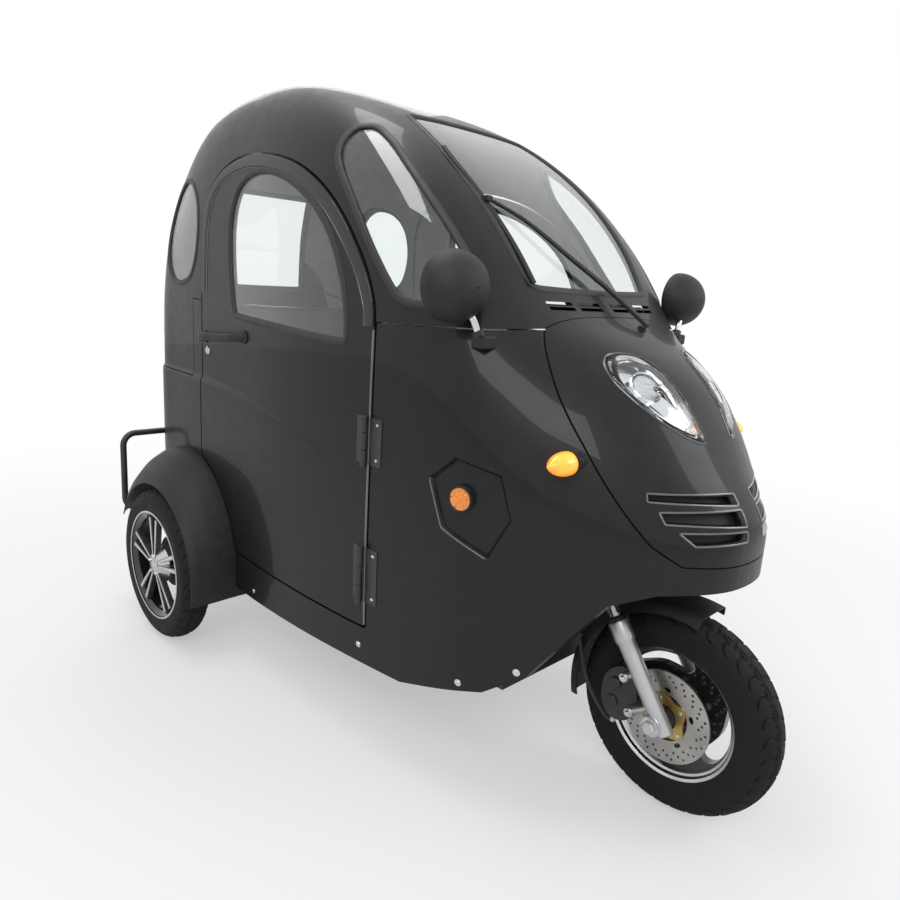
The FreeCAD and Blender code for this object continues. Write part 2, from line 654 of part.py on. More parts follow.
def make_small_parts(outer, skin):
    """Indicators, reflectors, tail lamps, mirrors, wiper, hinges and handles."""
    stalk = Part.makeCylinder(11, 60, V(-240, -591, 718), V(-1, 0, 0))
    curve = Part.BSplineCurve()
    curve.interpolate([V(-292, 0, 12), V(-302, 0, 18.5), (V(-320, 0, 21.5)), V(-338, 0, 17), V(-350, 0, 0)])
    ends = [V(-350, 0, 0), V(-292, 0, 0), V(-292, 0, 12)]
    lens = spun(Part.Wire([curve.toShape(), Part.makeLine(ends[0], ends[1]), Part.makeLine(ends[1], ends[2])]))
    lens.translate(V(0, -591, 718))
    add("front_indicators", both_sides(stalk.cut(outer).fuse(lens)))
    reflector = Part.makeCylinder(24, 20, V(-352, -417, 623), V(-1, 0.24, 0))
    add("side_reflectors", both_sides(reflector.cut(skin)))
    tail = box(-250, -190, 860, 900, 600, 720).cut(outer)
    add("tail_lamps", both_sides(tail))
    head = Part.makeSphere(1.0)
    grow = FreeCAD.Matrix()
    grow.scale(69, 62, 62)
    head = head.transformGeometry(grow)
    head.translate(V(-380, -380, 990))
    head = head.cut(box(-600, 0, -376, 0, 0, 2000))
    stem = bar_along([(-345, -405, 950), (-322, -416, 880)], 7, 0)
    mirror = head.fuse(stem).fuse(box(-345, -312, -432, -400, 888, 912)).cut(outer)
    add("mirrors", both_sides(sorted(mirror.Solids, key=lambda s: s.Volume)[-1]))
    hinge_x = -(388 + size("hinge_outset") - 4)
    hinge_y = door_front + 12
    fixed = []
    swing = []
    for low, high in ((634, 736), (344, 469)):
        third = (high - low) / 3.0
        fixed.append(Part.makeCylinder(3.5, high - low, V(hinge_x, hinge_y, low)))
        for start in (low, high - third + 1):
            fixed.append(Part.makeCylinder(size("hinge_radius"), third - 1, V(hinge_x, hinge_y, start)))
            fixed.append(box(hinge_x, hinge_x + 12, hinge_y - 30, hinge_y, start, start + third - 1).cut(outer))
        barrel = Part.makeCylinder(size("hinge_radius"), third - 1, V(hinge_x, hinge_y, low + third + 0.5))
        leaf = box(hinge_x, hinge_x + 12, hinge_y, hinge_y + 30, low + third + 0.5, high - third - 0.5)
        swing.append(barrel.fuse(leaf.cut(outer)).cut(Part.makeCylinder(3.8, 300, V(hinge_x, hinge_y, low - 20))))
    fixed_right = fixed[0].fuse(fixed[1:])
    add("hinge_leaves", both_sides(fixed_right))
    handle = box(-412, -370, 290, 530, 808, 843).cut(outer)
    handle = sorted(handle.Solids, key=lambda s: s.Volume)[-1]
    fittings = Part.makeCompound([handle] + swing)
    add("door_right_fittings", fittings)
    add("door_left_fittings", mirror_x(fittings))
    print("hinge axis", hinge_x, hinge_y)
    blade = [V(-222, -196, 1222), V(-226, -300, 1125), V(-205, -405, 1012)]
    arm = bar_along([(48, -500, 935), (-120, -450, 1010), (-222, -300, 1130)], 5, 20)
    blade_bar = bar_along([(-216, -185, 1250), (-222, -320, 1120), (-205, -412, 1005)], 5, 60)
    pivot = Part.makeCylinder(12, 40, V(48, -486, 915), V(0, -0.45, 0.9))
    add("wiper", arm.fuse([blade_bar, pivot]).cut([outer, mirror_x(outer)]))


import time
CLOCK = [time.time()]


def lap(name):
    now = time.time()
    print("lap", name, round(now - CLOCK[0], 1))
    CLOCK[0] = now


RAKE = math.radians(size("rake"))
UP = V(0, math.sin(RAKE), math.cos(RAKE))
FRONT = V(0, -math.cos(RAKE), math.sin(RAKE))
WHEEL_CENTRE = V(0, size("front_axle_y"), size("front_tyre_radius"))


def steer_point(along):
    """A point on the steering axis, measured up from beside the wheel centre."""
    return WHEEL_CENTRE - FRONT * (size("fork_offset") - 12.0) + UP * along


def leg_point(along, x):
    """A point on a fork leg's centre line."""
    return WHEEL_CENTRE + FRONT * 12.0 + UP * along + V(x, 0, 0)


body, hollow, under_skin = make_body_panels()
make_inside(hollow)
lap("inside")
make_frame()
lap("frame")
make_front_wheel()
make_rear_wheels()
lap("wheels")
make_rear_axle()
make_fenders(body)
lap("axle, fenders")
make_fork()
lap("fork")
make_small_parts(body, under_skin)
lap("small")
print("steer axis point", steer_point(0), UP)
doc.recompute()
os.makedirs("parts", exist_ok=True)
for item in doc.Objects:
    if item.TypeId == "Spreadsheet::Sheet":
        continue
    shape = item.Shape
    if shape.isNull() or not shape.isValid() or not shape.Solids:
        print("PROBLEM", item.Label, shape.isNull() or shape.isValid(), len(shape.Solids))
    print(item.Label, len(shape.Solids), round(shape.Volume / 1e3), "cm3")
    shape.exportStep(f"parts/{item.Label}.step")
lap("write")
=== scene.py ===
"""Looks of the enclosed electric cabin tricycle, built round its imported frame.

Metres. Ground at zero height, forward is -Y, the right-hand side of the vehicle is -X.
"""
import logging
import math
from dataclasses import dataclass, field
from enum import Enum
from typing import Callable, Optional, Sequence

import bpy
import numpy as np
from mathutils import Matrix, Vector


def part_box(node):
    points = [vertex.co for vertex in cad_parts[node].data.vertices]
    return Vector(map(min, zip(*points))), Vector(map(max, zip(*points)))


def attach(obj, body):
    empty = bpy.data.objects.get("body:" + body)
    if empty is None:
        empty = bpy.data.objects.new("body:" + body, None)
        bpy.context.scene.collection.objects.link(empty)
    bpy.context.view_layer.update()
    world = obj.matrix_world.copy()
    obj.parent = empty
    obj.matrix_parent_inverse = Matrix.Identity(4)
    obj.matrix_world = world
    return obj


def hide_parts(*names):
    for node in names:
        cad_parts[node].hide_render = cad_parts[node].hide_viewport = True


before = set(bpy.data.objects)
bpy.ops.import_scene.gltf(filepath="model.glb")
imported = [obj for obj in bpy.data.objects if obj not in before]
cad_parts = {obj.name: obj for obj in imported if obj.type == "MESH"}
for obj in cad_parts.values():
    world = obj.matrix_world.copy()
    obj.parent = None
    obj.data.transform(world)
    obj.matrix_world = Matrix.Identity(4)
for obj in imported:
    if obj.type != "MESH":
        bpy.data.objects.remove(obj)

LOG = logging.getLogger("cabin_tricycle")
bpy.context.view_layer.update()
Array = np.ndarray
Points = Sequence[Sequence[float]]
Rgb = tuple[float, float, float]
Faces = list[tuple[int, ...]]
MM = 0.001
TAU = 2.0 * math.pi


class Side(Enum):
    """The two sides of the vehicle, each with the sign of its X."""

    RIGHT = -1
    LEFT = 1

    @property
    def word(self) -> str:
        """The side's name as the frame spells it."""
        return self.name.lower()


class Solver(Enum):
    """What a cut keeps of the piece and the tool."""

    AWAY = "DIFFERENCE"
    SHARED = "INTERSECT"
    JOINED = "UNION"


# Outlines, as the corners that pull a smooth line, in millimetres
DOOR: Points = [
    (-192, 600), (-192, 300), (-189, 288), (-177, 285), (0, 285), (330, 285), (346, 286), (352, 292),
    (356, 310), (366, 340), (393, 391), (430, 435), (475, 470), (527, 496), (540, 497), (547, 506),
    (547, 530), (547, 900), (547, 1070), (543, 1125), (530, 1168), (504, 1204), (462, 1232), (406, 1250),
    (340, 1258), (271, 1255), (200, 1246), (127, 1228), (65, 1204), (5, 1172), (-45, 1136), (-90, 1094),
    (-122, 1058), (-155, 1015), (-183, 960), (-192, 910),
]
WINDOW: Points = [
    (352, 883), (362, 887), (366, 897), (382, 960), (394, 1040), (397, 1100), (388, 1150), (365, 1188),
    (321, 1212), (255, 1220), (175, 1208), (90, 1176), (16, 1131), (-45, 1073), (-86, 997), (-105, 932),
    (-108, 885), (-104, 868), (-90, 862), (51, 868), (197, 876), (330, 882),
]
QUARTER: Points = [
    (-19, 1296), (-4, 1294), (4, 1280), (8, 1250), (-11, 1209), (-77, 1139), (-153, 1046), (-219, 972),
    (-245, 955), (-293, 948), (-345, 962), (-375, 978), (-376, 995), (-311, 1075), (-232, 1153), (-125, 1243),
    (-62, 1284), (-35, 1296),
]
OVAL: Points = [
    (719, 1222), (770, 1190), (795, 1130), (802, 1080), (795, 1010), (760, 962), (725, 948), (685, 945),
    (621, 961), (585, 1008), (569, 1088), (586, 1163), (632, 1207), (675, 1222),
]
HEXAGON: Points = [(-344, 648), (-401, 697), (-488, 679), (-512, 600), (-474, 521), (-378, 559)]
BONNET_SEAM: Points = [
    (-458, 925), (-536, 817), (-592, 745), (-636, 684), (-673, 634), (-707, 588), (-745, 552), (-900, 534),
]
UPPER: Points = [
    (-458, 2000), (-458, 925), (-422, 921), (-200, 914), (600, 914), (600, 710), (1000, 710), (1000, 2000),
]
COWL: Points = [
    (-458, 925), (-422, 921), (-200, 914), (-191, 914), (-191, 400), (347, 400), (347, 100), (-1000, 100),
    (-1000, 1100), (-458, 1100),
]
BELOW: Points = [
    (-1000, 505), (-722, 500), (-664, 476), (-556, 318), (-480, 262), (-290, 208), (-190, 204), (270, 188),
    (420, 188), (520, 330), (1000, 330), (1000, -100), (-1000, -100),
]
SCREEN: Points = [
    (-176, 1340), (-192, 1330), (-213, 1233), (-214, 1130), (-208, 1051), (-196, 1003), (-186, 994),
    (-160, 992), (0, 990), (160, 992), (186, 994), (196, 1003), (208, 1051), (214, 1130), (213, 1233),
    (192, 1330), (176, 1340), (0, 1348),
]
REAR_WINDOW: Points = [
    (-150, 960), (-148, 944), (-132, 940), (132, 940), (148, 944), (150, 960), (150, 1215), (148, 1231),
    (132, 1235), (-132, 1235), (-148, 1231), (-150, 1215),
]
HEADLIGHT: Points = [
    (-176, 849), (-169, 873), (-149, 888), (-127, 892), (-97, 892), (-68, 884), (-56, 865), (-52, 831),
    (-48, 790), (-43, 745), (-68, 746), (-107, 763), (-141, 789), (-164, 819),
]
SLOTS: Sequence[Points] = (
    [(-196, 674), (-30, 666), (-30, 648), (-198, 661)],
    [(-184, 644), (-30, 641), (-30, 614), (-178, 625)],
    [(-158, 610), (-30, 606), (-30, 588), (-136, 588)],
)
VENTS: Sequence[Points] = (
    [(-178, 973), (-106, 973), (-106, 967), (-178, 967)], [(-90, 973), (-18, 973), (-18, 967), (-90, 967)],
    [(-176, 964), (-106, 964), (-106, 958), (-176, 958)], [(-90, 964), (-18, 964), (-18, 958), (-90, 958)],
)


def line_of(points: Points, smooth: bool = True) -> Array:
    """An outline in metres, smoothed where it isn't made of straight runs.

    Args:
        points: corners in millimetres.
        smooth: whether the corners pull a smooth line.

    Returns:
        The closed line in metres.
    """
    line = np.asarray(points, float) * MM
    return rounded(line) if smooth else line


def rounded(points: Points, rounds: int = 3) -> Array:
    """A closed outline with its corners cut off again and again, which tends to a quadratic B-spline.

    Args:
        points: the corners, in order.
        rounds: how many times each edge is kept between its quarter points.

    Returns:
        The smooth outline's points.
    """
    line = np.asarray(points, float)
    for _ in range(rounds):
        after = np.roll(line, -1, axis=0)
        line = np.stack([0.75 * line + 0.25 * after, 0.25 * line + 0.75 * after],
                        axis=1).reshape(-1, line.shape[1])
    return line


def both_ways(line: Array) -> tuple[Array, Array]:
    """A line of (x, z) points drawn from the front, and its mirror image."""
    return line, line * (-1.0, 1.0)


def drawn(outline: Array, distance: float) -> Array:
    """A closed outline moved outwards by a distance along its own normals, or inwards when it is negative.

    Args:
        outline: points of a flat closed line.
        distance: how far it moves.

    Returns:
        The moved outline, with as many points.
    """
    before = outline - np.roll(outline, 1, axis=0)
    before /= np.linalg.norm(before, axis=1, keepdims=True)
    after = np.roll(before, -1, axis=0)
    x, y = outline[:, 0], outline[:, 1]
    turned_area = np.sum(x * np.roll(y, -1) - np.roll(x, -1) * y)
    both = before + after
    outward = np.stack([both[:, 1], -both[:, 0]], axis=1) * np.sign(turned_area)
    return outline + outward * distance / (1.0 + np.sum(before * after, axis=1, keepdims=True)).clip(0.4)


def spaced(line: Array, step: float, closed: bool = True) -> Array:
    """A line's points set again at an even spacing along it.

    Args:
        line: points of the line.
        step: the spacing wanted.
        closed: whether the last point joins the first.

    Returns:
        The evenly spaced points.
    """
    full = np.vstack([line, line[:1]]) if closed else line
    run = np.concatenate([[0.0], np.cumsum(np.linalg.norm(np.diff(full, axis=0), axis=1))])
    count = max(int(round(run[-1] / step)), 3)
    at = np.linspace(0.0, run[-1], count + 1)
    if closed:
        at = at[:-1]
    return np.stack([np.interp(at, run, full[:, k]) for k in range(line.shape[1])], axis=1)


def cubic(knots: Array, values: Array, at: Array) -> Array:
    """Natural cubic spline: second derivatives from the usual three-term system, zero at both ends.

    Args:
        knots: rising parameters.
        values: one row of numbers at each knot.
        at: parameters to read.

    Returns:
        One row of numbers for each parameter in at.
    """
    count = len(knots)
    gap = np.diff(knots)
    system = np.eye(count)
    right = np.zeros((count, values.shape[1]))
    for i in range(1, count - 1):
        system[i, i - 1:i + 2] = gap[i - 1], 2.0 * (gap[i - 1] + gap[i]), gap[i]
        right[i] = 6.0 * ((values[i + 1] - values[i]) / gap[i] - (values[i] - values[i - 1]) / gap[i - 1])
    bend = np.linalg.solve(system, right)
    i = np.clip(np.searchsorted(knots, at) - 1, 0, count - 2)
    span = gap[i][:, None]
    low = (knots[i + 1] - at)[:, None]
    high = (at - knots[i])[:, None]
    curve = (bend[i] * low ** 3 + bend[i + 1] * high ** 3) / (6.0 * span)
    left = (values[i] / span - bend[i] * span / 6.0) * low
    right = (values[i + 1] / span - bend[i + 1] * span / 6.0) * high
    return curve + left + right


def smooth_path(points: Points, step: float = 0.004) -> Array:
    """A natural cubic line through points, in metres, read at an even spacing.

    Args:
        points: places that the line goes through.
        step: distance between the points given back.

    Returns:
        Points along the line.
    """
    knots = np.asarray(points, float)
    run = np.concatenate([[0.0], np.cumsum(np.linalg.norm(np.diff(knots, axis=0), axis=1))])
    return spaced(cubic(run, knots, np.linspace(0.0, run[-1], 200)), step, closed=False)


# Meshes


@dataclass
class Form:
    """Points and faces of a piece before it becomes an object."""

    points: Array
    faces: Faces

    def joined(self, *others: "Form") -> "Form":
        """This form and others as one set of points and faces."""
        points, faces = [self.points], list(self.faces)
        count = len(self.points)
        for other in others:
            faces.extend(tuple(index + count for index in face) for face in other.faces)
            points.append(other.points)
            count += len(other.points)
        return Form(np.vstack(points), faces)

    def moved(self, matrix: Array, place: Points = (0.0, 0.0, 0.0)) -> "Form":
        """The form after a turn, given as three rows, and a shift."""
        return Form(self.points @ np.asarray(matrix, float).T + np.asarray(place, float),
                    self.faces).outward()

    def at(self, place: Points) -> "Form":
        """The form after a shift."""
        return Form(self.points + np.asarray(place, float), self.faces)

    def mirrored(self) -> "Form":
        """The form's mirror image on the other side of the vehicle."""
        return Form(self.points * (-1.0, 1.0, 1.0), [face[::-1] for face in self.faces])

    def outward(self) -> "Form":
        """The form, its faces turned over if the sum of the signed volumes under them is negative."""
        total = 0.0
        for size in {len(face) for face in self.faces}:
            ring = self.points[np.array([face for face in self.faces if len(face) == size])]
            for k in range(1, size - 1):
                total += np.einsum("ij,ij->", ring[:, 0], np.cross(ring[:, k], ring[:, k + 1]))
        return self if total >= 0.0 else Form(self.points, [face[::-1] for face in self.faces])


def as_one(forms: Sequence[Form]) -> Form:
    """Several forms as one set of points and faces."""
    return forms[0].joined(*forms[1:])


def grid(points: Array, loop_rows: bool = False, loop_columns: bool = False, capped: bool = False) -> Form:
    """A surface on a grid of points of shape (rows, columns, 3).

    Args:
        points: the grid.
        loop_rows: whether the last row joins the first.
        loop_columns: whether the last column joins the first.
        capped: whether the first and last rows are closed by one flat face each.

    Returns:
        The form, with its faces outwards where it is closed.
    """
    rows, columns = points.shape[:2]
    i = np.arange(rows if loop_rows else rows - 1)[:, None]
    j = np.arange(columns if loop_columns else columns - 1)[None, :]
    down, right = (i + 1) % rows, (j + 1) % columns
    quads = np.stack([i * columns + j, i * columns + right, down * columns + right, down * columns + j],
                     axis=-1)
    faces = [tuple(face) for face in quads.reshape(-1, 4).tolist()]
    if capped:
        faces.append(tuple(range(columns - 1, -1, -1)))
        faces.append(tuple(range((rows - 1) * columns, rows * columns)))
    form = Form(points.reshape(-1, 3), faces)
    return form.outward() if capped or (loop_rows and loop_columns) else form


def turned(profile: Points, steps: int = 96, axis_end: bool = False) -> Form:
    """A profile (distance along X, radius) turned about the X axis; a closed profile gives a closed ring.

    Args:
        profile: (distance along X, radius) pairs.
        steps: points round the turn.
        axis_end: whether the profile is open and its ends are closed by flat discs.

    Returns:
        The turned form.
    """
    line = np.asarray(profile, float)
    angle = np.linspace(0.0, TAU, steps, endpoint=False)[:, None]
    points = np.stack([np.broadcast_to(line[:, 0], (steps, len(line))), line[:, 1] * np.cos(angle),
                       line[:, 1] * np.sin(angle)], axis=-1)
    if not axis_end:
        return grid(points, loop_rows=True, loop_columns=True)
    body = grid(points, loop_rows=True)
    first = tuple(k * len(line) for k in range(steps))
    last = tuple(k * len(line) + len(line) - 1 for k in range(steps))
    return Form(body.points, body.faces + [first[::-1], last]).outward()


def carried(path: Array, normals: Array, profile: Points, closed: bool = True) -> Form:
    """A profile carried along a path: path + across * side + out * normal, the side being tangent x normal.

    Args:
        path: points of the path.
        normals: outward unit direction at each of them.
        profile: (across, out) distances round the section, as a closed ring.
        closed: whether the path ends where it starts.

    Returns:
        The form, closed by flat ends where the path is open.
    """
    if closed:
        along = np.roll(path, -1, axis=0) - np.roll(path, 1, axis=0)
    else:
        along = np.gradient(path, axis=0)
    side = np.cross(along, normals)
    side /= np.linalg.norm(side, axis=1, keepdims=True)
    up = np.cross(side, along)
    up /= np.linalg.norm(up, axis=1, keepdims=True)
    up *= np.sign(np.sum(up * normals, axis=1, keepdims=True))
    ring = np.asarray(profile, float)
    points = path[:, None] + side[:, None] * ring[None, :, :1] + up[:, None] * ring[None, :, 1:]
    return grid(points, loop_rows=closed, loop_columns=True, capped=not closed)


def tube(path: Array, radius: float, steps: int = 16) -> Form:
    """A round bar along an open path; its section keeps its direction by taking the least turned normal.

    Args:
        path: points along the bar's middle.
        radius: the bar's radius.
        steps: points round it.

    Returns:
        The bar, closed at both ends.
    """
    along = np.gradient(path, axis=0)
    along /= np.linalg.norm(along, axis=1, keepdims=True)
    normals = np.zeros_like(path)
    last = np.cross(along[0], (0.31, 0.17, 0.94))
    for k, direction in enumerate(along):
        last = last - direction * np.dot(last, direction)
        last /= np.linalg.norm(last)
        normals[k] = last
    angle = np.linspace(0.0, TAU, steps, endpoint=False)
    return carried(path, normals, np.stack([np.cos(angle), np.sin(angle)], axis=1) * radius, closed=False)


def turn_to(way: Array) -> Array:
    """Three columns of a turn that lays the X axis along a unit direction.

    Args:
        way: the direction.

    Returns:
        The turn as a 3 x 3 table.
    """
    helper = (0.0, 0.0, 1.0) if abs(way[2]) < 0.9 else (0.0, 1.0, 0.0)
    side = np.cross(helper, way)
    side /= np.linalg.norm(side)
    return np.stack([way, side, np.cross(way, side)], axis=1)


def rod(start: Points, end: Points, radius: float, steps: int = 24) -> Form:
    """A round bar between two points with a small chamfer at both ends.

    Args:
        start: middle of one end.
        end: middle of the other.
        radius: the bar's radius.
        steps: points round it.

    Returns:
        The bar.
    """
    a, b = np.asarray(start, float), np.asarray(end, float)
    length = np.linalg.norm(b - a)
    edge = min(0.15 * radius, 0.001, 0.2 * length)
    profile = [(0.0, radius - edge), (edge, radius), (length - edge, radius), (length, radius - edge)]
    form = turned(profile, steps, axis_end=True)
    return form.moved(turn_to((b - a) / length), a)


def prism(outline: Array, spans: Sequence[tuple[float, float]], axis: int = 0) -> Form:
    """An outline of two coordinates carried straight along the third axis over one or more spans.

    Args:
        outline: closed line of two coordinates.
        spans: (low, high) pairs along the third axis.
        axis: which axis that is.

    Returns:
        One closed form for each span, as one.
    """
    forms = []
    for span in spans:
        ends = np.array([np.insert(outline, axis, level, axis=1) for level in span])
        forms.append(grid(ends, loop_columns=True, capped=True))
    return as_one(forms)


def block(low: Points, high: Points) -> Form:
    """A block between two corners, as a tool for cutting or with a bevel put on later.

    Args:
        low: lowest corner.
        high: highest corner.

    Returns:
        The block.
    """
    (x0, y0, z0), (x1, y1, z1) = low, high
    return prism(np.array([(y0, z0), (y1, z0), (y1, z1), (y0, z1)]), [(x0, x1)])


def new_object(name: str, form: Form, smooth: bool = True) -> bpy.types.Object:
    """A form as a mesh object at the origin.

    Args:
        name: the piece's name.
        form: its points and faces.
        smooth: whether its faces are shaded as one curved surface.

    Returns:
        The object.
    """
    mesh = bpy.data.meshes.new(name)
    mesh.from_pydata(form.points, [], form.faces)
    mesh.polygons.foreach_set("use_smooth", [smooth] * len(form.faces))
    mesh.update()
    item = bpy.data.objects.new(name, mesh)
    bpy.context.scene.collection.objects.link(item)
    return item


def drop(item: bpy.types.Object) -> None:
    """Removes a working object and its mesh."""
    mesh = item.data
    bpy.data.objects.remove(item)
    bpy.data.meshes.remove(mesh)


def applied(item: bpy.types.Object) -> bpy.types.Object:
    """The object with its modifiers worked into its mesh."""
    view = bpy.context.evaluated_depsgraph_get()
    view.update()
    mesh = bpy.data.meshes.new_from_object(item.evaluated_get(view))
    old = item.data
    item.modifiers.clear()
    item.data = mesh
    bpy.data.meshes.remove(old)
    return item


def cut(item: bpy.types.Object, form: Form, how: Solver = Solver.AWAY) -> bpy.types.Object:
    """Cuts an object by a closed form, or keeps what they share.

    Args:
        item: object that is cut.
        form: closed form that cuts it.
        how: what is kept.

    Returns:
        The same object.
    """
    tool = new_object("tool", form)
    change = item.modifiers.new("cut", "BOOLEAN")
    change.solver = "MANIFOLD"
    change.operation = how.value
    change.object = tool
    applied(item)
    drop(tool)
    return item


def copy_of(item: bpy.types.Object, name: str) -> bpy.types.Object:
    """A second object with its own copy of the mesh."""
    twin = bpy.data.objects.new(name, item.data.copy())
    bpy.context.scene.collection.objects.link(twin)
    return twin


def bevelled(item: bpy.types.Object, width: float, segments: int = 2,
             angle: float = 35.0) -> bpy.types.Object:
    """Rounds an object's sharp edges and lets the flat faces set the shading.

    Args:
        item: the object.
        width: width of the rounding.
        segments: faces across it.
        angle: turn in degrees beyond which an edge is rounded.

    Returns:
        The same object.
    """
    bevel = item.modifiers.new("rounded_edges", "BEVEL")
    bevel.width = width
    bevel.segments = segments
    bevel.limit_method = "ANGLE"
    bevel.angle_limit = math.radians(angle)
    bevel.harden_normals = True
    return item


def sharpened(item: bpy.types.Object, angle: float = 35.0) -> bpy.types.Object:
    """Marks the edges where the surface turns by more than an angle, so that they shade as edges.

    Args:
        item: the object.
        angle: turn in degrees beyond which an edge shades as an edge.

    Returns:
        The same object.
    """
    mesh = item.data
    mesh.set_sharp_from_angle(angle=math.radians(angle))
    return item


def dress(item: bpy.types.Object, body: str, finish: "Finish",
          hides: Sequence[str] = ()) -> bpy.types.Object:
    """Gives a piece its material in its one slot and its body, and hides the CAD nodes that it stands for.

    Args:
        item: the piece.
        body: body that it rides on.
        finish: its finish.
        hides: CAD nodes that it stands for.

    Returns:
        The same object.
    """
    item.data.materials.clear()
    item.data.materials.append(finish.material())
    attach(item, body)
    if hides:
        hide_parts(*hides)
    LOG.info("%s: %d faces on %s", item.name, len(item.data.polygons), body)
    return item


def put(name: str, form: Form, body: str, finish: "Finish", hides: Sequence[str] = (),
        angle: float = 35.0) -> bpy.types.Object:
    """A form made an object, its edges marked by angle, and dressed.

    Args:
        name: name of the piece.
        form: its points and faces.
        body: body that it rides on.
        finish: its finish.
        hides: CAD nodes that it stands for.
        angle: turn in degrees beyond which an edge shades as an edge.

    Returns:
        The object.
    """
    return dress(sharpened(new_object(name, form), angle), body, finish, hides)


# The moulded body as a surface


@dataclass
class BodyForm:
    """The moulded body as one surface: rounded sections set along the vehicle."""

    half_width: float = 0.396
    roof: float = 1.453
    screen_foot: float = 0.455
    nose_reach: float = 0.340
    floor: float = 0.050
    tuck: float = 0.05
    rear_start: float = 0.600
    rear_end: float = 0.885
    side_start: float = 0.800
    rear_crown: float = 1.017
    rear_half: float = 0.253
    last_turn: float = 84.0
    ledge_depth: float = 0.006
    nose_lines: Points = (
        (1.000, 0.126, 0.385, 0.420, 2.20), (0.956, 0.240, 0.385, 0.440, 2.10),
        (0.838, 0.404, 0.385, 0.478, 2.05), (0.603, 0.621, 0.392, 0.564, 2.10),
        (0.309, 0.778, 0.403, 0.617, 2.50), (0.132, 0.843, 0.413, 0.637, 2.90),
        (0.000, 0.884, 0.427, 0.654, 3.40),
    )
    cabin_lines: Points = (
        (-0.360, 0.937, 0.454, 0.731, 3.90), (-0.173, 0.980, 0.482, 0.857, 4.40),
        (0.000, 1.000, 0.482, 0.926, 4.50),
        (0.200, 0.992, 0.482, 0.974, 4.40), (0.400, 0.960, 0.482, 1.000, 4.20),
    )
    crease: Points = (
        (-0.30, 0.490), (-0.148, 0.577), (-0.032, 0.633), (0.127, 0.673), (0.323, 0.700), (0.564, 0.711),
        (0.90, 0.711),
    )
    table: Array = field(init=False)
    crease_line: Array = field(init=False)
    middle: Array = field(init=False)
    reach: Array = field(init=False)

    def __post_init__(self) -> None:
        """Works out a fine table of the lines along the body."""
        rows = np.array(self.stations())
        step = np.linalg.norm(np.diff(rows[:, [0, 1, 3]], axis=0), axis=1)
        knots = np.concatenate([[0.0], np.cumsum(step)])
        self.table = cubic(knots, rows, np.linspace(0.0, knots[-1], 4000))
        line = np.array(self.crease)
        at = np.linspace(-0.30, 0.90, 600)
        self.crease_line = np.stack([at, cubic(line[:, 0], line[:, 1:], at)[:, 0]], axis=1)
        tip, tail = rows[0, 0], rows[-1, 0]
        self.middle = np.array([0.0, (tip + tail) / 2.0, 0.700])
        self.reach = np.array([self.half_width, (tail - tip) / 2.0, self.roof - 0.700])

    def stations(self) -> list[tuple[float, ...]]:
        """Rows of station, half width, mid height, crown height and roundness, front to rear."""
        rows = [(-self.screen_foot - 1.012 * self.nose_reach, 0.03 * self.half_width, 0.385 * self.roof,
                 0.400 * self.roof, 2.2)]
        for share, wide, mid, crown, power in self.nose_lines:
            y = -self.screen_foot - share * self.nose_reach
            rows.append((y, wide * self.half_width, mid * self.roof, crown * self.roof, power))
        for y, wide, mid, crown, power in self.cabin_lines:
            rows.append((y, wide * self.half_width, mid * self.roof, crown * self.roof, power))
        last = math.sin(math.radians(self.last_turn))
        for turn in np.radians((0.0, 15.0, 30.0, 45.0, 58.0, 70.0, 78.0, self.last_turn)):
            y = self.rear_start + (self.rear_end - self.rear_start) * math.sin(turn) / last
            crown = self.rear_crown + (0.9925 * self.roof - self.rear_crown) * math.cos(turn)
            back = 0.985 * min(max((y - self.side_start) / (self.rear_end - self.side_start), 0.0), 1.0)
            share = max(0.0, (self.side_start - y) / (self.side_start - self.rear_start))
            widest = self.half_width * (0.900 + 0.033 * share)
            half = self.rear_half + (widest - self.rear_half) * math.sqrt(1.0 - back ** 2)
            rows.append((y, half, 0.482 * self.roof, crown, 4.1 - 0.9 * (y - self.rear_start) / 0.285))
        return rows

    def lines(self, y: Array) -> Array:
        """Half width, mid height, crown height and roundness at stations y, one column each."""
        return np.stack([np.interp(y, self.table[:, 0], self.table[:, k]) for k in range(1, 5)], axis=-1)

    def ledge(self, y: Array, z: Array) -> Array:
        """How far the flank stands out below the crease line: a smooth step that fades away forwards."""
        top = np.interp(y, self.crease_line[:, 0], self.crease_line[:, 1])
        step = 1.0 / (1.0 + np.exp(np.clip((z - top) / 0.0025, -40.0, 40.0)))
        fade = np.clip((y + 0.16) / 0.55, 0.0, 1.0)
        return self.ledge_depth * step * fade ** 1.5

    def value(self, p: Array) -> Array:
        """The body's own function at points (..., 3): below zero inside and above zero outside."""
        x, y, z = np.abs(p[..., 0]), p[..., 1], p[..., 2]
        half, mid, crown, power = np.moveaxis(self.lines(y), -1, 0)
        x = np.maximum(x - self.ledge(y, z), 0.0)
        up = np.maximum(z - mid, 0.0) / (crown - mid)
        down = np.maximum(mid - z, 0.0) / (mid - self.floor)
        over = ((x / half) ** power + up ** power) ** (1.0 / power) - 1.0
        under = x / (half * (1.0 - self.tuck * down ** 3)) - 1.0
        return np.where(z >= mid, over, under)

    def normal(self, p: Array) -> Array:
        """Outward unit normals near the surface: the slope of the body's function by small differences."""
        slopes = []
        for axis in range(3):
            shift = np.zeros(3)
            shift[axis] = 0.0008
            slopes.append(self.value(p + shift) - self.value(p - shift))
        slope = np.stack(slopes, axis=-1)
        return slope / np.maximum(np.linalg.norm(slope, axis=-1, keepdims=True), 1e-12)

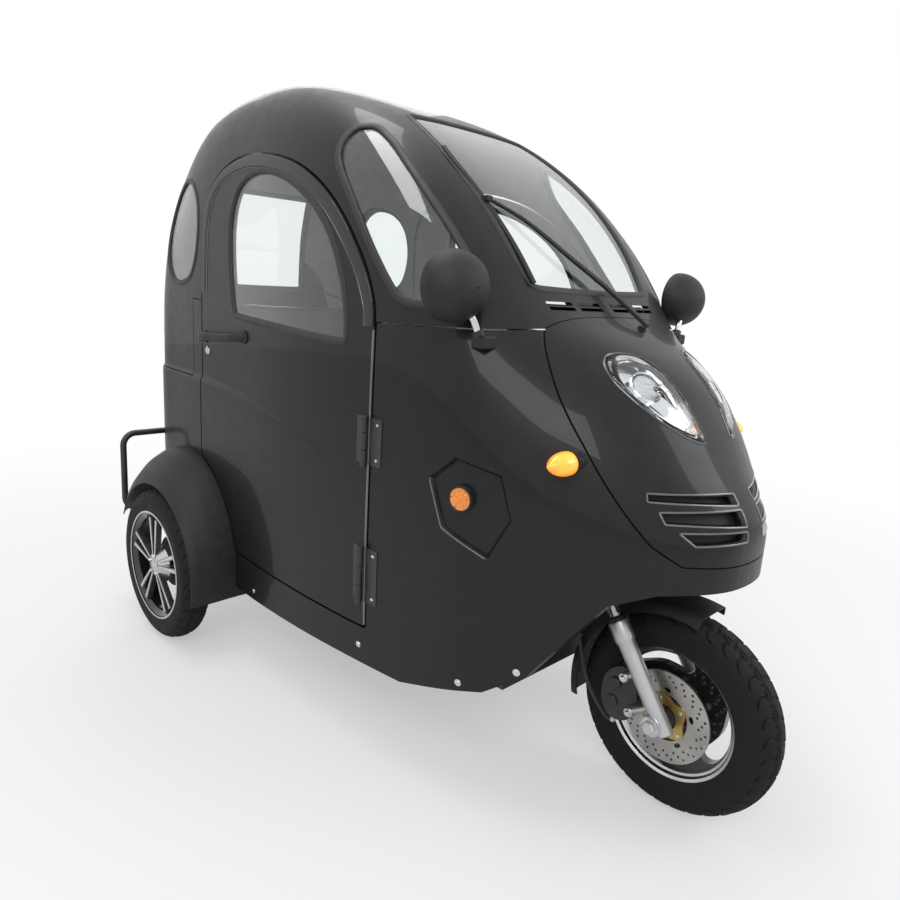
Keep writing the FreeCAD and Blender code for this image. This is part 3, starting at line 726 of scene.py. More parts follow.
    def side(self, outline: Array, sign: float, lift: float = 0.0) -> Array:
        """Points of a side-view outline (y, z) laid on the flank, lifted along the normal.

        Args:
            outline: (y, z) points.
            sign: side of the vehicle, -1 or 1.
            lift: distance out along the normal.

        Returns:
            Points on the flank.
        """
        y, z = outline[..., 0], outline[..., 1]
        half, mid, crown, power = np.moveaxis(self.lines(y), -1, 0)
        up = np.clip((z - mid) / (crown - mid), 0.0, 0.9999)
        down = np.maximum(mid - z, 0.0) / (mid - self.floor)
        x = np.where(z >= mid, half * (1.0 - up ** power) ** (1.0 / power),
                     half * (1.0 - self.tuck * down ** 3))
        p = np.stack([sign * (x + self.ledge(y, z)), y, z], axis=-1)
        return p + self.normal(p) * lift

    def front(self, outline: Array, lift: float = 0.0, rear: bool = False) -> Array:
        """Points of a front-view outline (x, z) laid on the nose or the back by halving the distance.

        Args:
            outline: (x, z) points.
            lift: distance out along the normal.
            rear: whether they lie on the back.

        Returns:
            Points on the nose or the back.
        """
        x, z = outline[..., 0], outline[..., 1]
        out = np.full(x.shape, self.rear_end if rear else -0.80)
        within = np.full(x.shape, 0.40)
        for _ in range(40):
            middle = (out + within) / 2.0
            inside = self.value(np.stack([x, middle, z], axis=-1)) < 0.0
            within = np.where(inside, middle, within)
            out = np.where(inside, out, middle)
        p = np.stack([x, within, z], axis=-1)
        return p + self.normal(p) * lift

    def shrunk(self, points: Array, inset: float) -> Array:
        """Points drawn in by an inset, as a scale about the body's middle.

        Args:
            points: places on the body's surface.
            inset: distance that they move in.

        Returns:
            The moved places.
        """
        return self.middle + (points - self.middle) * (1.0 - inset / self.reach)

    def skin(self, inset: float = 0.0, fine: float = 1.0) -> Form:
        """The closed body form: sections set out by their angle about the mid line, straight down below it.

        Args:
            inset: distance inwards.
            fine: share of the full number of rows, from 0 to 1.

        Returns:
            The form, closed underneath and at both ends.
        """
        count = int(126 * fine)
        pick = np.linspace(0.0, 1.0, count)
        length = np.linspace(0.0, 1.0, len(self.table))
        y, half, mid, crown, power = (np.interp(pick, length, self.table[:, k])[:, None] for k in range(5))
        low = np.concatenate([np.linspace(1.0, 0.24, int(26 * fine), endpoint=False),
                              np.linspace(0.24, 0.0, int(46 * fine), endpoint=False)])[None, :]
        turn = np.concatenate([np.linspace(0.0, 0.08, int(10 * fine) + 2, endpoint=False),
                               np.linspace(0.08, math.pi / 2, int(84 * fine))])[None, :]
        x_low = half * (1.0 - self.tuck * low ** 3)
        z_low = mid - (mid - self.floor) * low
        radius = ((np.abs(np.cos(turn)) / half) ** power
                  + (np.sin(turn) / (crown - mid)) ** power) ** (-1.0 / power)
        x = np.concatenate([x_low, radius * np.cos(turn)], axis=1)
        z = np.concatenate([z_low, mid + radius * np.sin(turn)], axis=1)
        x[:, -1] = 0.0
        y = np.broadcast_to(y, x.shape)
        x = x + self.ledge(y, z) * np.clip(x / 0.05, 0.0, 1.0)
        right = np.stack([-x, y, z], axis=-1)
        left = np.stack([x, y, z], axis=-1)[:, -2::-1]
        points = self.shrunk(np.concatenate([right, left], axis=1), inset)
        return grid(points, loop_columns=True, capped=True)

    def shade(self, item: bpy.types.Object, inset: float, lining: float) -> bpy.types.Object:
        """Sets the true normals of the two skins on a cut piece, and gives the faces of the inner one slot 1.

        Args:
            item: the piece, cut out of the shell.
            inset: inset of its outer skin.
            lining: inset of its inner skin.

        Returns:
            The piece.
        """
        mesh = item.data
        count, loops = len(mesh.vertices), len(mesh.loops)
        points = np.empty(count * 3)
        mesh.vertices.foreach_get("co", points)
        points = points.reshape(-1, 3)
        corner = np.empty(loops, dtype=int)
        mesh.loops.foreach_get("vertex_index", corner)
        total = np.empty(len(mesh.polygons), dtype=int)
        mesh.polygons.foreach_get("loop_total", total)
        flat = np.empty(len(mesh.polygons) * 3)
        mesh.polygons.foreach_get("normal", flat)
        flat = flat.reshape(-1, 3)
        centre = np.empty(len(mesh.polygons) * 3)
        mesh.polygons.foreach_get("center", centre)
        centre = centre.reshape(-1, 3)
        face = np.repeat(np.arange(len(total)), total)
        normals = flat[face]
        chosen = np.zeros(len(total), dtype=int)
        for slot_index, distance, sign in ((0, inset, 1.0), (1, lining, -1.0)):
            back = self.shrink_back(points, distance)
            middle = self.shrink_back(centre, distance)
            near = np.abs(self.value(middle)) < 0.02
            alike = sign * np.sum(self.normal(middle) * flat, axis=1) > 0.75
            on_skin = near & alike & (middle[:, 1] < self.rear_end - 0.0006)
            slopes = self.normal(back) * sign
            normals = np.where(on_skin[face][:, None], slopes[corner], normals)
            chosen[on_skin] = slot_index
        mesh.polygons.foreach_set("use_smooth", [True] * len(total))
        mesh.polygons.foreach_set("material_index", chosen)
        mesh.normals_split_custom_set(normals.tolist())
        mesh.update()
        return item

    def shrink_back(self, points: Array, inset: float) -> Array:
        """The places that points had before they were drawn in by an inset."""
        return self.middle + (points - self.middle) / (1.0 - inset / self.reach)


BODY = BodyForm()


def bead(name: str, path: Array, section: tuple[float, float, float, float], body: str) -> None:
    """A bead that lies on the body along an open path, in a lighter paint that is a painted highlight.

    Args:
        name: name of the piece.
        path: points on the body.
        section: half width, half width at the shoulder, height of the shoulder and height in all.
        body: body that it rides on.
    """
    half, shoulder, low, top = section
    ring = [(-half, -0.001), (-shoulder, low), (0.0, top), (shoulder, low), (half, -0.001)]
    form = carried(path, BODY.normal(path), ring, closed=False).outward()
    # the bead's lighter paint is a painted highlight
    put(name, form, body, PAINTED_HIGHLIGHT, angle=60.0)


# Finishes


def node_group(name: str, inputs: Sequence[tuple[str, float]],
               outputs: Sequence[str]) -> tuple[bpy.types.NodeTree, Callable]:
    """An empty shader node group with number inputs and outputs.

    Args:
        name: the group's name.
        inputs: names and first values of its inputs.
        outputs: names of its outputs.

    Returns:
        The group, and a function that adds a node to it.
    """
    tree = bpy.data.node_groups.new(name, "ShaderNodeTree")
    for word, value in inputs:
        tree.interface.new_socket(word, in_out="INPUT", socket_type="NodeSocketFloat").default_value = value
    for word in outputs:
        tree.interface.new_socket(word, in_out="OUTPUT", socket_type="NodeSocketFloat")
    return tree, tree.nodes.new


def effect(kind: str) -> bpy.types.NodeTree:
    """A shared effect, built the first time it is asked for.

    grain: fine and broad noise on Object coordinates.
    wear: bright where the surface turns sharply, broken by noise.
    dust: bright on faces that look up, broken by noise. ribs: even waves along Z.

    Args:
        kind: one of the four names.

    Returns:
        The node group.
    """
    known = bpy.data.node_groups.get(kind)
    if known:
        return known
    outputs = {"grain": ("Fine", "Broad"), "wear": ("Mask",), "dust": ("Mask",), "ribs": ("Height",)}[kind]
    tree, new = node_group(kind, (("Scale", 100.0), ("Amount", 0.5)), outputs)
    enter, leave = new("NodeGroupInput"), new("NodeGroupOutput")
    place = new("ShaderNodeTexCoord")
    link = tree.links.new
    noise = new("ShaderNodeTexNoise")
    noise.inputs["Detail"].default_value = 4.0
    link(place.outputs["Object"], noise.inputs["Vector"])
    link(enter.outputs["Scale"], noise.inputs["Scale"])
    if kind == "grain":
        broad = new("ShaderNodeTexNoise")
        broad.inputs["Detail"].default_value = 2.0
        share = new("ShaderNodeMath")
        share.operation = "MULTIPLY"
        share.inputs[1].default_value = 0.035
        link(enter.outputs["Scale"], share.inputs[0])
        link(share.outputs[0], broad.inputs["Scale"])
        link(place.outputs["Object"], broad.inputs["Vector"])
        link(noise.outputs["Fac"], leave.inputs["Fine"])
        link(broad.outputs["Fac"], leave.inputs["Broad"])
        return tree
    if kind == "ribs":
        wave = new("ShaderNodeTexWave")
        wave.bands_direction = "Z"
        link(place.outputs["Object"], wave.inputs["Vector"])
        link(enter.outputs["Scale"], wave.inputs["Scale"])
        link(wave.outputs["Fac"], leave.inputs["Height"])
        return tree
    source = new("ShaderNodeNewGeometry")
    spread = new("ShaderNodeMapRange")
    if kind == "wear":
        link(source.outputs["Pointiness"], spread.inputs["Value"])
        spread.inputs["From Min"].default_value = 0.52
        spread.inputs["From Max"].default_value = 0.60
    else:
        apart = new("ShaderNodeSeparateXYZ")
        link(source.outputs["Normal"], apart.inputs[0])
        link(apart.outputs["Z"], spread.inputs["Value"])
        spread.inputs["From Min"].default_value = 0.2
        spread.inputs["From Max"].default_value = 1.0
    broken = new("ShaderNodeMath")
    broken.operation = "MULTIPLY"
    amount = new("ShaderNodeMath")
    amount.operation = "MULTIPLY"
    link(spread.outputs["Result"], broken.inputs[0])
    link(noise.outputs["Fac"], broken.inputs[1])
    link(broken.outputs[0], amount.inputs[0])
    link(enter.outputs["Amount"], amount.inputs[1])
    link(amount.outputs[0], leave.inputs["Mask"])
    return tree


@dataclass(frozen=True)
class Finish:
    """One finish: base colour, gloss, grain, wear and dust, made as a procedural material when first used."""

    name: str
    colour: Rgb
    second: Rgb
    roughness: tuple[float, float] = (0.35, 0.45)
    metallic: float = 0.0
    coat: float = 0.0
    coat_roughness: float = 0.03
    grain: float = 400.0
    bump: float = 0.0002
    wear: float = 0.0
    wear_colour: Rgb = (0.6, 0.6, 0.6)
    dust: float = 0.0
    clear: float = 0.0
    glow: float = 0.0
    ior: float = 1.5
    ribs: float = 0.0

    def material(self) -> bpy.types.Material:
        """The finish as a Blender material."""
        known = bpy.data.materials.get(self.name)
        if known:
            return known
        made = bpy.data.materials.new(self.name)
        made.use_nodes = True
        tree = made.node_tree
        new, link = tree.nodes.new, tree.links.new
        shader = tree.nodes["Principled BSDF"]
        shader.inputs["Metallic"].default_value = self.metallic
        shader.inputs["IOR"].default_value = self.ior
        shader.inputs["Coat Weight"].default_value = self.coat
        shader.inputs["Coat Roughness"].default_value = self.coat_roughness
        shader.inputs["Transmission Weight"].default_value = self.clear
        grain = new("ShaderNodeGroup")
        grain.node_tree = effect("grain")
        grain.inputs["Scale"].default_value = self.grain
        blend = self.mixed(tree, grain.outputs["Broad"], self.colour, self.second)
        if self.wear:
            worn = new("ShaderNodeGroup")
            worn.node_tree = effect("wear")
            worn.inputs["Scale"].default_value = 60.0
            worn.inputs["Amount"].default_value = self.wear
            blend = self.over(tree, worn.outputs["Mask"], blend, self.wear_colour)
        if self.dust:
            dusty = new("ShaderNodeGroup")
            dusty.node_tree = effect("dust")
            dusty.inputs["Scale"].default_value = 14.0
            dusty.inputs["Amount"].default_value = self.dust
            blend = self.over(tree, dusty.outputs["Mask"], blend, (0.30, 0.28, 0.25))
        link(blend, shader.inputs["Base Color"])
        if self.glow:
            link(blend, shader.inputs["Emission Color"])
            shader.inputs["Emission Strength"].default_value = self.glow
        gloss = new("ShaderNodeMapRange")
        link(grain.outputs["Broad"], gloss.inputs["Value"])
        gloss.inputs["From Min"].default_value = 0.3
        gloss.inputs["From Max"].default_value = 0.7
        gloss.inputs["To Min"].default_value = self.roughness[0]
        gloss.inputs["To Max"].default_value = self.roughness[1]
        link(gloss.outputs["Result"], shader.inputs["Roughness"])
        bump = new("ShaderNodeBump")
        bump.inputs["Distance"].default_value = self.bump
        bump.inputs["Strength"].default_value = 0.6
        link(grain.outputs["Fine"], bump.inputs["Height"])
        if self.ribs:
            ribbed = new("ShaderNodeGroup")
            ribbed.node_tree = effect("ribs")
            ribbed.inputs["Scale"].default_value = self.ribs
            link(ribbed.outputs["Height"], bump.inputs["Height"])
            bump.inputs["Distance"].default_value = 0.0015
        link(bump.outputs["Normal"], shader.inputs["Normal"])
        made.diffuse_color = (*self.colour, 1.0)
        return made

    @staticmethod
    def mixed(tree: bpy.types.NodeTree, mask: bpy.types.NodeSocket, low: Rgb,
              high: Rgb) -> bpy.types.NodeSocket:
        """A blend of two colours by a mask that lies around a half."""
        ramp = tree.nodes.new("ShaderNodeValToRGB")
        ramp.color_ramp.elements[0].position = 0.35
        ramp.color_ramp.elements[0].color = (*low, 1.0)
        ramp.color_ramp.elements[1].position = 0.65
        ramp.color_ramp.elements[1].color = (*high, 1.0)
        tree.links.new(mask, ramp.inputs["Fac"])
        return ramp.outputs["Color"]

    @staticmethod
    def over(tree: bpy.types.NodeTree, mask: bpy.types.NodeSocket, under: bpy.types.NodeSocket,
             top: Rgb) -> bpy.types.NodeSocket:
        """A colour laid over another by a mask."""
        mix = tree.nodes.new("ShaderNodeMix")
        mix.data_type = "RGBA"
        tree.links.new(mask, mix.inputs["Factor"])
        tree.links.new(under, mix.inputs["A"])
        mix.inputs["B"].default_value = (*top, 1.0)
        return mix.outputs["Result"]


PAINT = Finish("anthracite_paint", (0.007, 0.008, 0.009), (0.009, 0.010, 0.011), (0.36, 0.44), coat=0.22,
               grain=900.0, bump=0.00004, ior=1.28)
TRIM_PAINT = Finish("dark_band_paint", (0.012, 0.013, 0.014), (0.015, 0.016, 0.017), (0.28, 0.36), coat=0.35,
                    grain=700.0, bump=0.00005, ior=1.30)
LINING = Finish("grey_lining", (0.36, 0.37, 0.38), (0.42, 0.43, 0.44), (0.62, 0.75), grain=900.0, bump=0.0004,
                dust=0.2)
RUBBER = Finish("seal_rubber", (0.010, 0.010, 0.011), (0.016, 0.016, 0.017), (0.45, 0.60), grain=900.0,
                bump=0.0002, dust=0.05)
MATTE_BLACK = Finish("grained_black_plastic", (0.017, 0.017, 0.018), (0.024, 0.024, 0.026), (0.45, 0.58),
                     grain=1500.0, bump=0.0005, dust=0.03, ior=1.35)
GLOSS_BLACK = Finish("gloss_black", (0.010, 0.010, 0.011), (0.014, 0.014, 0.015), (0.12, 0.22), coat=0.6,
                     grain=500.0, bump=0.00006, wear=0.2)
GLASS = Finish("window_glass", (0.93, 0.96, 0.95), (0.90, 0.94, 0.93), (0.0, 0.015), clear=1.0, grain=30.0,
               bump=0.00002)
CLEAR_LENS = Finish("clear_lens", (0.97, 0.98, 0.99), (0.94, 0.96, 0.97), (0.0, 0.02), clear=1.0, grain=30.0,
                    bump=0.00002)
CHROME = Finish("chromed_bowl", (0.82, 0.83, 0.85), (0.74, 0.76, 0.79), (0.04, 0.12), metallic=1.0,
                grain=60.0, bump=0.0002)
AMBER = Finish("amber_lens", (0.90, 0.30, 0.02), (0.75, 0.22, 0.015), (0.10, 0.18), coat=0.8, grain=200.0,
               bump=0.0003, ior=1.49)
AMBER_LIT = Finish("lit_amber_lens", (1.0, 0.36, 0.03), (1.0, 0.24, 0.02), (0.10, 0.20), coat=0.8,
                   grain=500.0, bump=0.0006, glow=1.1)
RED_LENS = Finish("red_lens", (0.42, 0.010, 0.010), (0.30, 0.006, 0.006), (0.10, 0.20), coat=0.8, grain=200.0,
                  bump=0.0003, ribs=60.0)
TYRE = Finish("tyre_rubber", (0.007, 0.007, 0.008), (0.012, 0.012, 0.012), (0.60, 0.80), grain=700.0,
              bump=0.0004, dust=0.10, ior=1.3)
MACHINED = Finish("machined_alloy", (0.62, 0.63, 0.65), (0.50, 0.51, 0.53), (0.18, 0.32), metallic=1.0,
                  grain=260.0, bump=0.0001, wear=0.3, wear_colour=(0.8, 0.8, 0.82))
SILVER = Finish("silver_lacquer", (0.50, 0.51, 0.52), (0.44, 0.45, 0.46), (0.28, 0.38), metallic=0.85,
                coat=0.5, grain=500.0, bump=0.0001, dust=0.1)
STANCHION = Finish("chromed_tube", (0.70, 0.71, 0.72), (0.60, 0.61, 0.62), (0.06, 0.14), metallic=1.0,
                   grain=200.0, bump=0.00005)
DISC_STEEL = Finish("ground_steel", (0.36, 0.35, 0.34), (0.46, 0.45, 0.43), (0.25, 0.40), metallic=1.0,
                    grain=500.0, bump=0.0002, wear=0.3, wear_colour=(0.25, 0.17, 0.10))
GOLD = Finish("gold_carrier", (0.50, 0.36, 0.12), (0.42, 0.29, 0.09), (0.30, 0.42), metallic=0.9, grain=400.0,
              bump=0.0001)
CAST_BLACK = Finish("cast_black", (0.014, 0.014, 0.015), (0.022, 0.022, 0.023), (0.35, 0.50), grain=600.0,
                    bump=0.0003, wear=0.25, wear_colour=(0.20, 0.20, 0.20), dust=0.1)
FRAME_PAINT = Finish("frame_paint", (0.012, 0.012, 0.013), (0.022, 0.022, 0.023), (0.35, 0.50), grain=500.0,
                     bump=0.0002, wear=0.3, wear_colour=(0.12, 0.11, 0.10), dust=0.15)
MOTOR_CASE = Finish("cast_alloy", (0.42, 0.43, 0.44), (0.34, 0.35, 0.36), (0.45, 0.60), metallic=0.9,
                    grain=500.0, bump=0.0004, dust=0.2)
SEAT_VINYL = Finish("black_vinyl", (0.016, 0.016, 0.018), (0.026, 0.026, 0.029), (0.38, 0.52), grain=1600.0,
                    bump=0.0006, dust=0.1)
MIRROR = Finish("mirror_glass", (0.90, 0.91, 0.92), (0.86, 0.87, 0.88), (0.01, 0.03), metallic=1.0,
                grain=30.0, bump=0.00001)
HOSE = Finish("hose_rubber", (0.012, 0.012, 0.012), (0.020, 0.020, 0.020), (0.40, 0.55), grain=900.0,
              bump=0.0002)
FLOOR_MAT = Finish("floor_mat", (0.06, 0.06, 0.062), (0.09, 0.09, 0.092), (0.70, 0.85), grain=500.0,
                   bump=0.0006, dust=0.4)
LAMP_WHITE = Finish("frosted_lamp", (0.85, 0.87, 0.88), (0.72, 0.75, 0.77), (0.05, 0.15), coat=1.0,
                    grain=120.0, bump=0.0004, ribs=120.0)
RED_SPRING = Finish("spring_paint", (0.30, 0.02, 0.02), (0.22, 0.015, 0.015), (0.25, 0.38), grain=500.0,
                    bump=0.0002, dust=0.15)
# Painted highlight: a paint about ten times lighter than the body's. It goes on the slot lips, the door beads
# and the recess edge, in place of the gloss reflection along those edges.
PAINTED_HIGHLIGHT = Finish("painted_highlight_edge", (0.085, 0.090, 0.094), (0.110, 0.115, 0.120), (0.12, 0.20), coat=1.0,
                    grain=600.0, bump=0.00005)


# Stage, light and camera


@dataclass
class Stage:
    """Floor, world, soft lamps and the camera at the photograph's view."""

    camera_place: tuple[float, float, float] = (-1.262, -1.280, 0.994)
    yaw: float = 45.0996
    pitch: float = -12.8006
    roll: float = 3.6359
    lens: float = 29.256
    floor_radius: float = 9.0
    world_light: float = 0.62

    def build(self) -> None:
        """Makes all of it."""
        self.make_camera()
        self.make_world()
        self.make_floor()
        for name, place, size, power in (
                ("lamp_left", (-2.6, -2.2, 3.0), (2.4, 1.4), 46.0),
                ("lamp_front", (1.9, -3.0, 2.4), (1.6, 1.6), 26.0),
                ("lamp_top", (-0.4, 0.6, 3.6), (3.0, 0.8), 34.0),
                ("lamp_back", (1.6, 3.2, 2.6), (2.2, 1.2), 22.0)):
            self.make_lamp(name, place, size, power)

    def make_camera(self) -> None:
        """The camera that was fitted to the wheels and the paired points of the photograph."""
        yaw, pitch, roll = np.radians((self.yaw, self.pitch, self.roll))
        right = np.array([math.cos(yaw), -math.sin(yaw), 0.0])
        ahead = np.array([math.sin(yaw) * math.cos(pitch), math.cos(yaw) * math.cos(pitch), math.sin(pitch)])
        up = np.cross(right, ahead)
        across = math.cos(roll) * right + math.sin(roll) * up
        above = -math.sin(roll) * right + math.cos(roll) * up
        data = bpy.data.cameras.new("camera")
        data.lens = self.lens
        data.sensor_width = 36.0
        item = bpy.data.objects.new("camera", data)
        turn = np.eye(4)
        turn[:3, 0], turn[:3, 1], turn[:3, 2], turn[:3, 3] = across, above, -ahead, self.camera_place
        item.matrix_world = Matrix(turn.tolist())
        bpy.context.scene.collection.objects.link(item)
        bpy.context.scene.camera = item

    @staticmethod
    def seen_directly(tree: bpy.types.NodeTree, kinds: Sequence[str]) -> bpy.types.NodeSocket:
        """One where a ray of any of the named kinds of Light Path arrives."""
        path = tree.nodes.new("ShaderNodeLightPath")
        total = path.outputs[kinds[0]]
        for kind in kinds[1:]:
            most = tree.nodes.new("ShaderNodeMath")
            most.operation = "MAXIMUM"
            tree.links.new(total, most.inputs[0])
            tree.links.new(path.outputs[kind], most.inputs[1])
            total = most.outputs[0]
        return total

    def make_world(self) -> None:
        """White to the camera, to mirrors and through glass; a plain soft light to everything else."""
        world = bpy.data.worlds.new("studio")
        bpy.context.scene.world = world
        world.use_nodes = True
        tree = world.node_tree
        plain = tree.nodes["Background"]
        plain.inputs["Color"].default_value = (1.0, 1.0, 1.0, 1.0)
        plain.inputs["Strength"].default_value = self.world_light
        white = tree.nodes.new("ShaderNodeBackground")
        white.inputs["Color"].default_value = (1.0, 1.0, 1.0, 1.0)
        white.inputs["Strength"].default_value = 1.0
        mix = tree.nodes.new("ShaderNodeMixShader")
        tree.links.new(self.seen_directly(tree, ("Is Camera Ray", "Is Glossy Ray", "Is Transmission Ray")),
                       mix.inputs[0])
        tree.links.new(plain.outputs[0], mix.inputs[1])
        tree.links.new(white.outputs[0], mix.inputs[2])
        tree.links.new(mix.outputs[0], tree.nodes["World Output"].inputs["Surface"])
        bpy.context.scene.view_settings.view_transform = "Standard"

    def make_floor(self) -> None:
        """A pale round floor that keeps the object's shadow and fades into white away from it."""
        angle = np.linspace(0.0, TAU, 64, endpoint=False)
        rings = [np.stack([radius * np.cos(angle), radius * np.sin(angle), np.full(64, -0.0005)], axis=1)
                 for radius in (0.02, 2.0, 5.0, self.floor_radius)]
        form = grid(np.array(rings), loop_columns=True)
        floor = new_object("floor", Form(form.points, form.faces + [tuple(range(64))]), smooth=False)
        made = bpy.data.materials.new("pale_floor")
        made.use_nodes = True
        tree = made.node_tree
        shader = tree.nodes["Principled BSDF"]
        shader.inputs["Base Color"].default_value = (0.86, 0.86, 0.86, 1.0)
        shader.inputs["Roughness"].default_value = 0.75
        shader.inputs["Specular IOR Level"].default_value = 0.2
        white = tree.nodes.new("ShaderNodeEmission")
        white.inputs["Strength"].default_value = 1.0
        place = tree.nodes.new("ShaderNodeTexCoord")
        length = tree.nodes.new("ShaderNodeVectorMath")
        length.operation = "LENGTH"
        fade = tree.nodes.new("ShaderNodeMapRange")
        fade.interpolation_type = "SMOOTHSTEP"
        for word, value in (("From Min", 0.9), ("From Max", 3.2), ("To Min", 0.42), ("To Max", 1.0)):
            fade.inputs[word].default_value = value
        seen = tree.nodes.new("ShaderNodeMath")
        seen.operation = "MULTIPLY"
        mix = tree.nodes.new("ShaderNodeMixShader")
        tree.links.new(place.outputs["Object"], length.inputs[0])
        tree.links.new(length.outputs["Value"], fade.inputs["Value"])
        tree.links.new(fade.outputs["Result"], seen.inputs[0])
        tree.links.new(self.seen_directly(tree, ("Is Camera Ray", "Is Transmission Ray")), seen.inputs[1])
        tree.links.new(seen.outputs[0], mix.inputs[0])
        tree.links.new(shader.outputs[0], mix.inputs[1])
        tree.links.new(white.outputs[0], mix.inputs[2])
        tree.links.new(mix.outputs[0], tree.nodes["Material Output"].inputs["Surface"])
        floor.data.materials.append(made)

    @staticmethod
    def make_lamp(name: str, place: Points, size: Points, power: float) -> None:
        """A soft rectangular lamp that looks at the middle of the vehicle."""
        data = bpy.data.lights.new(name, "AREA")
        data.shape = "RECTANGLE"
        data.size, data.size_y = size
        data.energy = power
        item = bpy.data.objects.new(name, data)
        away = np.asarray(place, float) - np.array((0.0, 0.0, 0.7))
        away /= np.linalg.norm(away)
        right = np.cross((0.0, 0.0, 1.0), away)
        right /= np.linalg.norm(right)
        turn = np.eye(4)
        turn[:3, 0], turn[:3, 1], turn[:3, 2], turn[:3, 3] = right, np.cross(away, right), away, place
        item.matrix_world = Matrix(turn.tolist())
        bpy.context.scene.collection.objects.link(item)


# The body panels and the glass


@dataclass
class BodyPanels:
    """The moulded shell cut into its panels and the two doors."""

    wall: float = 0.018
    seam: float = 0.0012
    door_gap: float = 0.005
    wide: float = 0.700

    @property
    def across(self) -> Sequence[tuple[float, float]]:
        """The span of a cut through the whole width."""
        return [(-self.wide, self.wide)]

    @property
    def bonnet_line(self) -> Array:
        """The bonnet's outline from the side, closed above the body."""
        return np.vstack([[(-0.458, 1.100)], line_of(BONNET_SEAM, False), [(-0.900, 1.100)]])

    def build(self) -> None:
        """Cuts and dresses every panel."""
        shell = cut(new_object("shell", BODY.skin()), BODY.skin(self.wall, 0.6))
        self.make_doors(shell)
        cut(shell, prism(line_of(BELOW, False), self.across))
        cut(shell, prism(line_of(DOOR), self.across))
        self.make_bonnet(copy_of(shell, "bonnet_skin"))
        self.make_cabin(copy_of(shell, "cabin_skin"))
        self.make_cowl(copy_of(shell, "cowl_skin"))
        shell.name = "rear_skin"
        for line in (line_of(UPPER, False), line_of(COWL, False), self.bonnet_line):
            cut(shell, prism(drawn(line, self.seam), self.across))
        self.finish(shell, "chassis", ("rear_body", "sill_panels"))

    def make_doors(self, shell: bpy.types.Object) -> None:
        """Both door skins, each with its window's opening."""
        doors = copy_of(shell, "doors")
        cut(doors, prism(drawn(line_of(DOOR), -self.door_gap), self.across), Solver.SHARED)
        cut(doors, prism(line_of(WINDOW), self.across))
        half_space = np.array([(-1.0, -1.0), (1.5, -1.0), (1.5, 2.0), (-1.0, 2.0)])
        for side in Side:
            door = copy_of(doors, f"door_skin_{side.word}")
            outside = [(-self.wide, 0.0)] if side is Side.RIGHT else [(0.0, self.wide)]
            cut(door, prism(half_space, outside), Solver.SHARED)
            self.finish(door, f"door_{side.word}", (f"door_{side.word}",))
        drop(doors)

    def make_bonnet(self, bonnet: bpy.types.Object) -> None:
        """The bonnet, with openings for the headlights and the slots."""
        cut(bonnet, prism(drawn(self.bonnet_line, -self.seam), self.across), Solver.SHARED)
        for outline in both_ways(line_of(HEADLIGHT)):
            cut(bonnet, prism(outline, [(-0.9, -0.3)], axis=1))
        for slot in SLOTS:
            for outline in both_ways(line_of(slot, False)):
                cut(bonnet, prism(outline, [(-0.9, -0.5)], axis=1))
        self.finish(bonnet, "chassis", ("bonnet",))

    def make_cabin(self, cabin: bpy.types.Object) -> None:
        """Roof, pillars and upper rear wall, with the window openings and the vents under the screen."""
        cut(cabin, prism(drawn(line_of(UPPER, False), -self.seam), self.across), Solver.SHARED)
        for line in (line_of(QUARTER), line_of(OVAL)):
            cut(cabin, prism(line, [(-self.wide, -0.18), (0.18, self.wide)]))
        cut(cabin, prism(line_of(SCREEN), [(-0.9, 0.06)], axis=1))
        cut(cabin, prism(line_of(REAR_WINDOW), [(0.5, 1.2)], axis=1))
        for vent in VENTS:
            for outline in both_ways(line_of(vent, False)):
                cut(cabin, prism(outline, [(-0.9, 0.06)], axis=1))
        self.finish(cabin, "chassis", ("cabin_shell",))

    def make_cowl(self, cowl: bpy.types.Object) -> None:
        """The nose's sides, with the six-sided recess pressed into each."""
        cut(cowl, prism(drawn(line_of(COWL, False), -self.seam), self.across), Solver.SHARED)
        cut(cowl, prism(drawn(self.bonnet_line, self.seam), self.across))
        hexagons = prism(line_of(HEXAGON, False), [(-self.wide, -0.2), (0.2, self.wide)])
        pocket = cut(new_object("pocket", hexagons), BODY.skin(0.007, 0.5))
        cut(cowl, Form(*self.read(pocket)))
        drop(pocket)
        self.finish(cowl, "chassis", ("front_cowl",))

    @staticmethod
    def read(item: bpy.types.Object) -> tuple[Array, Faces]:
        """Points and faces of an object's mesh."""
        points = np.array([vertex.co for vertex in item.data.vertices])
        return points, [tuple(face.vertices) for face in item.data.polygons]

    def finish(self, item: bpy.types.Object, body: str, nodes: Sequence[str]) -> None:
        """Smooth shading, paint outside, lining inside."""
        dress(item, body, PAINT, nodes)
        item.data.materials.append(LINING.material())
        BODY.shade(item, 0.0, self.wall)


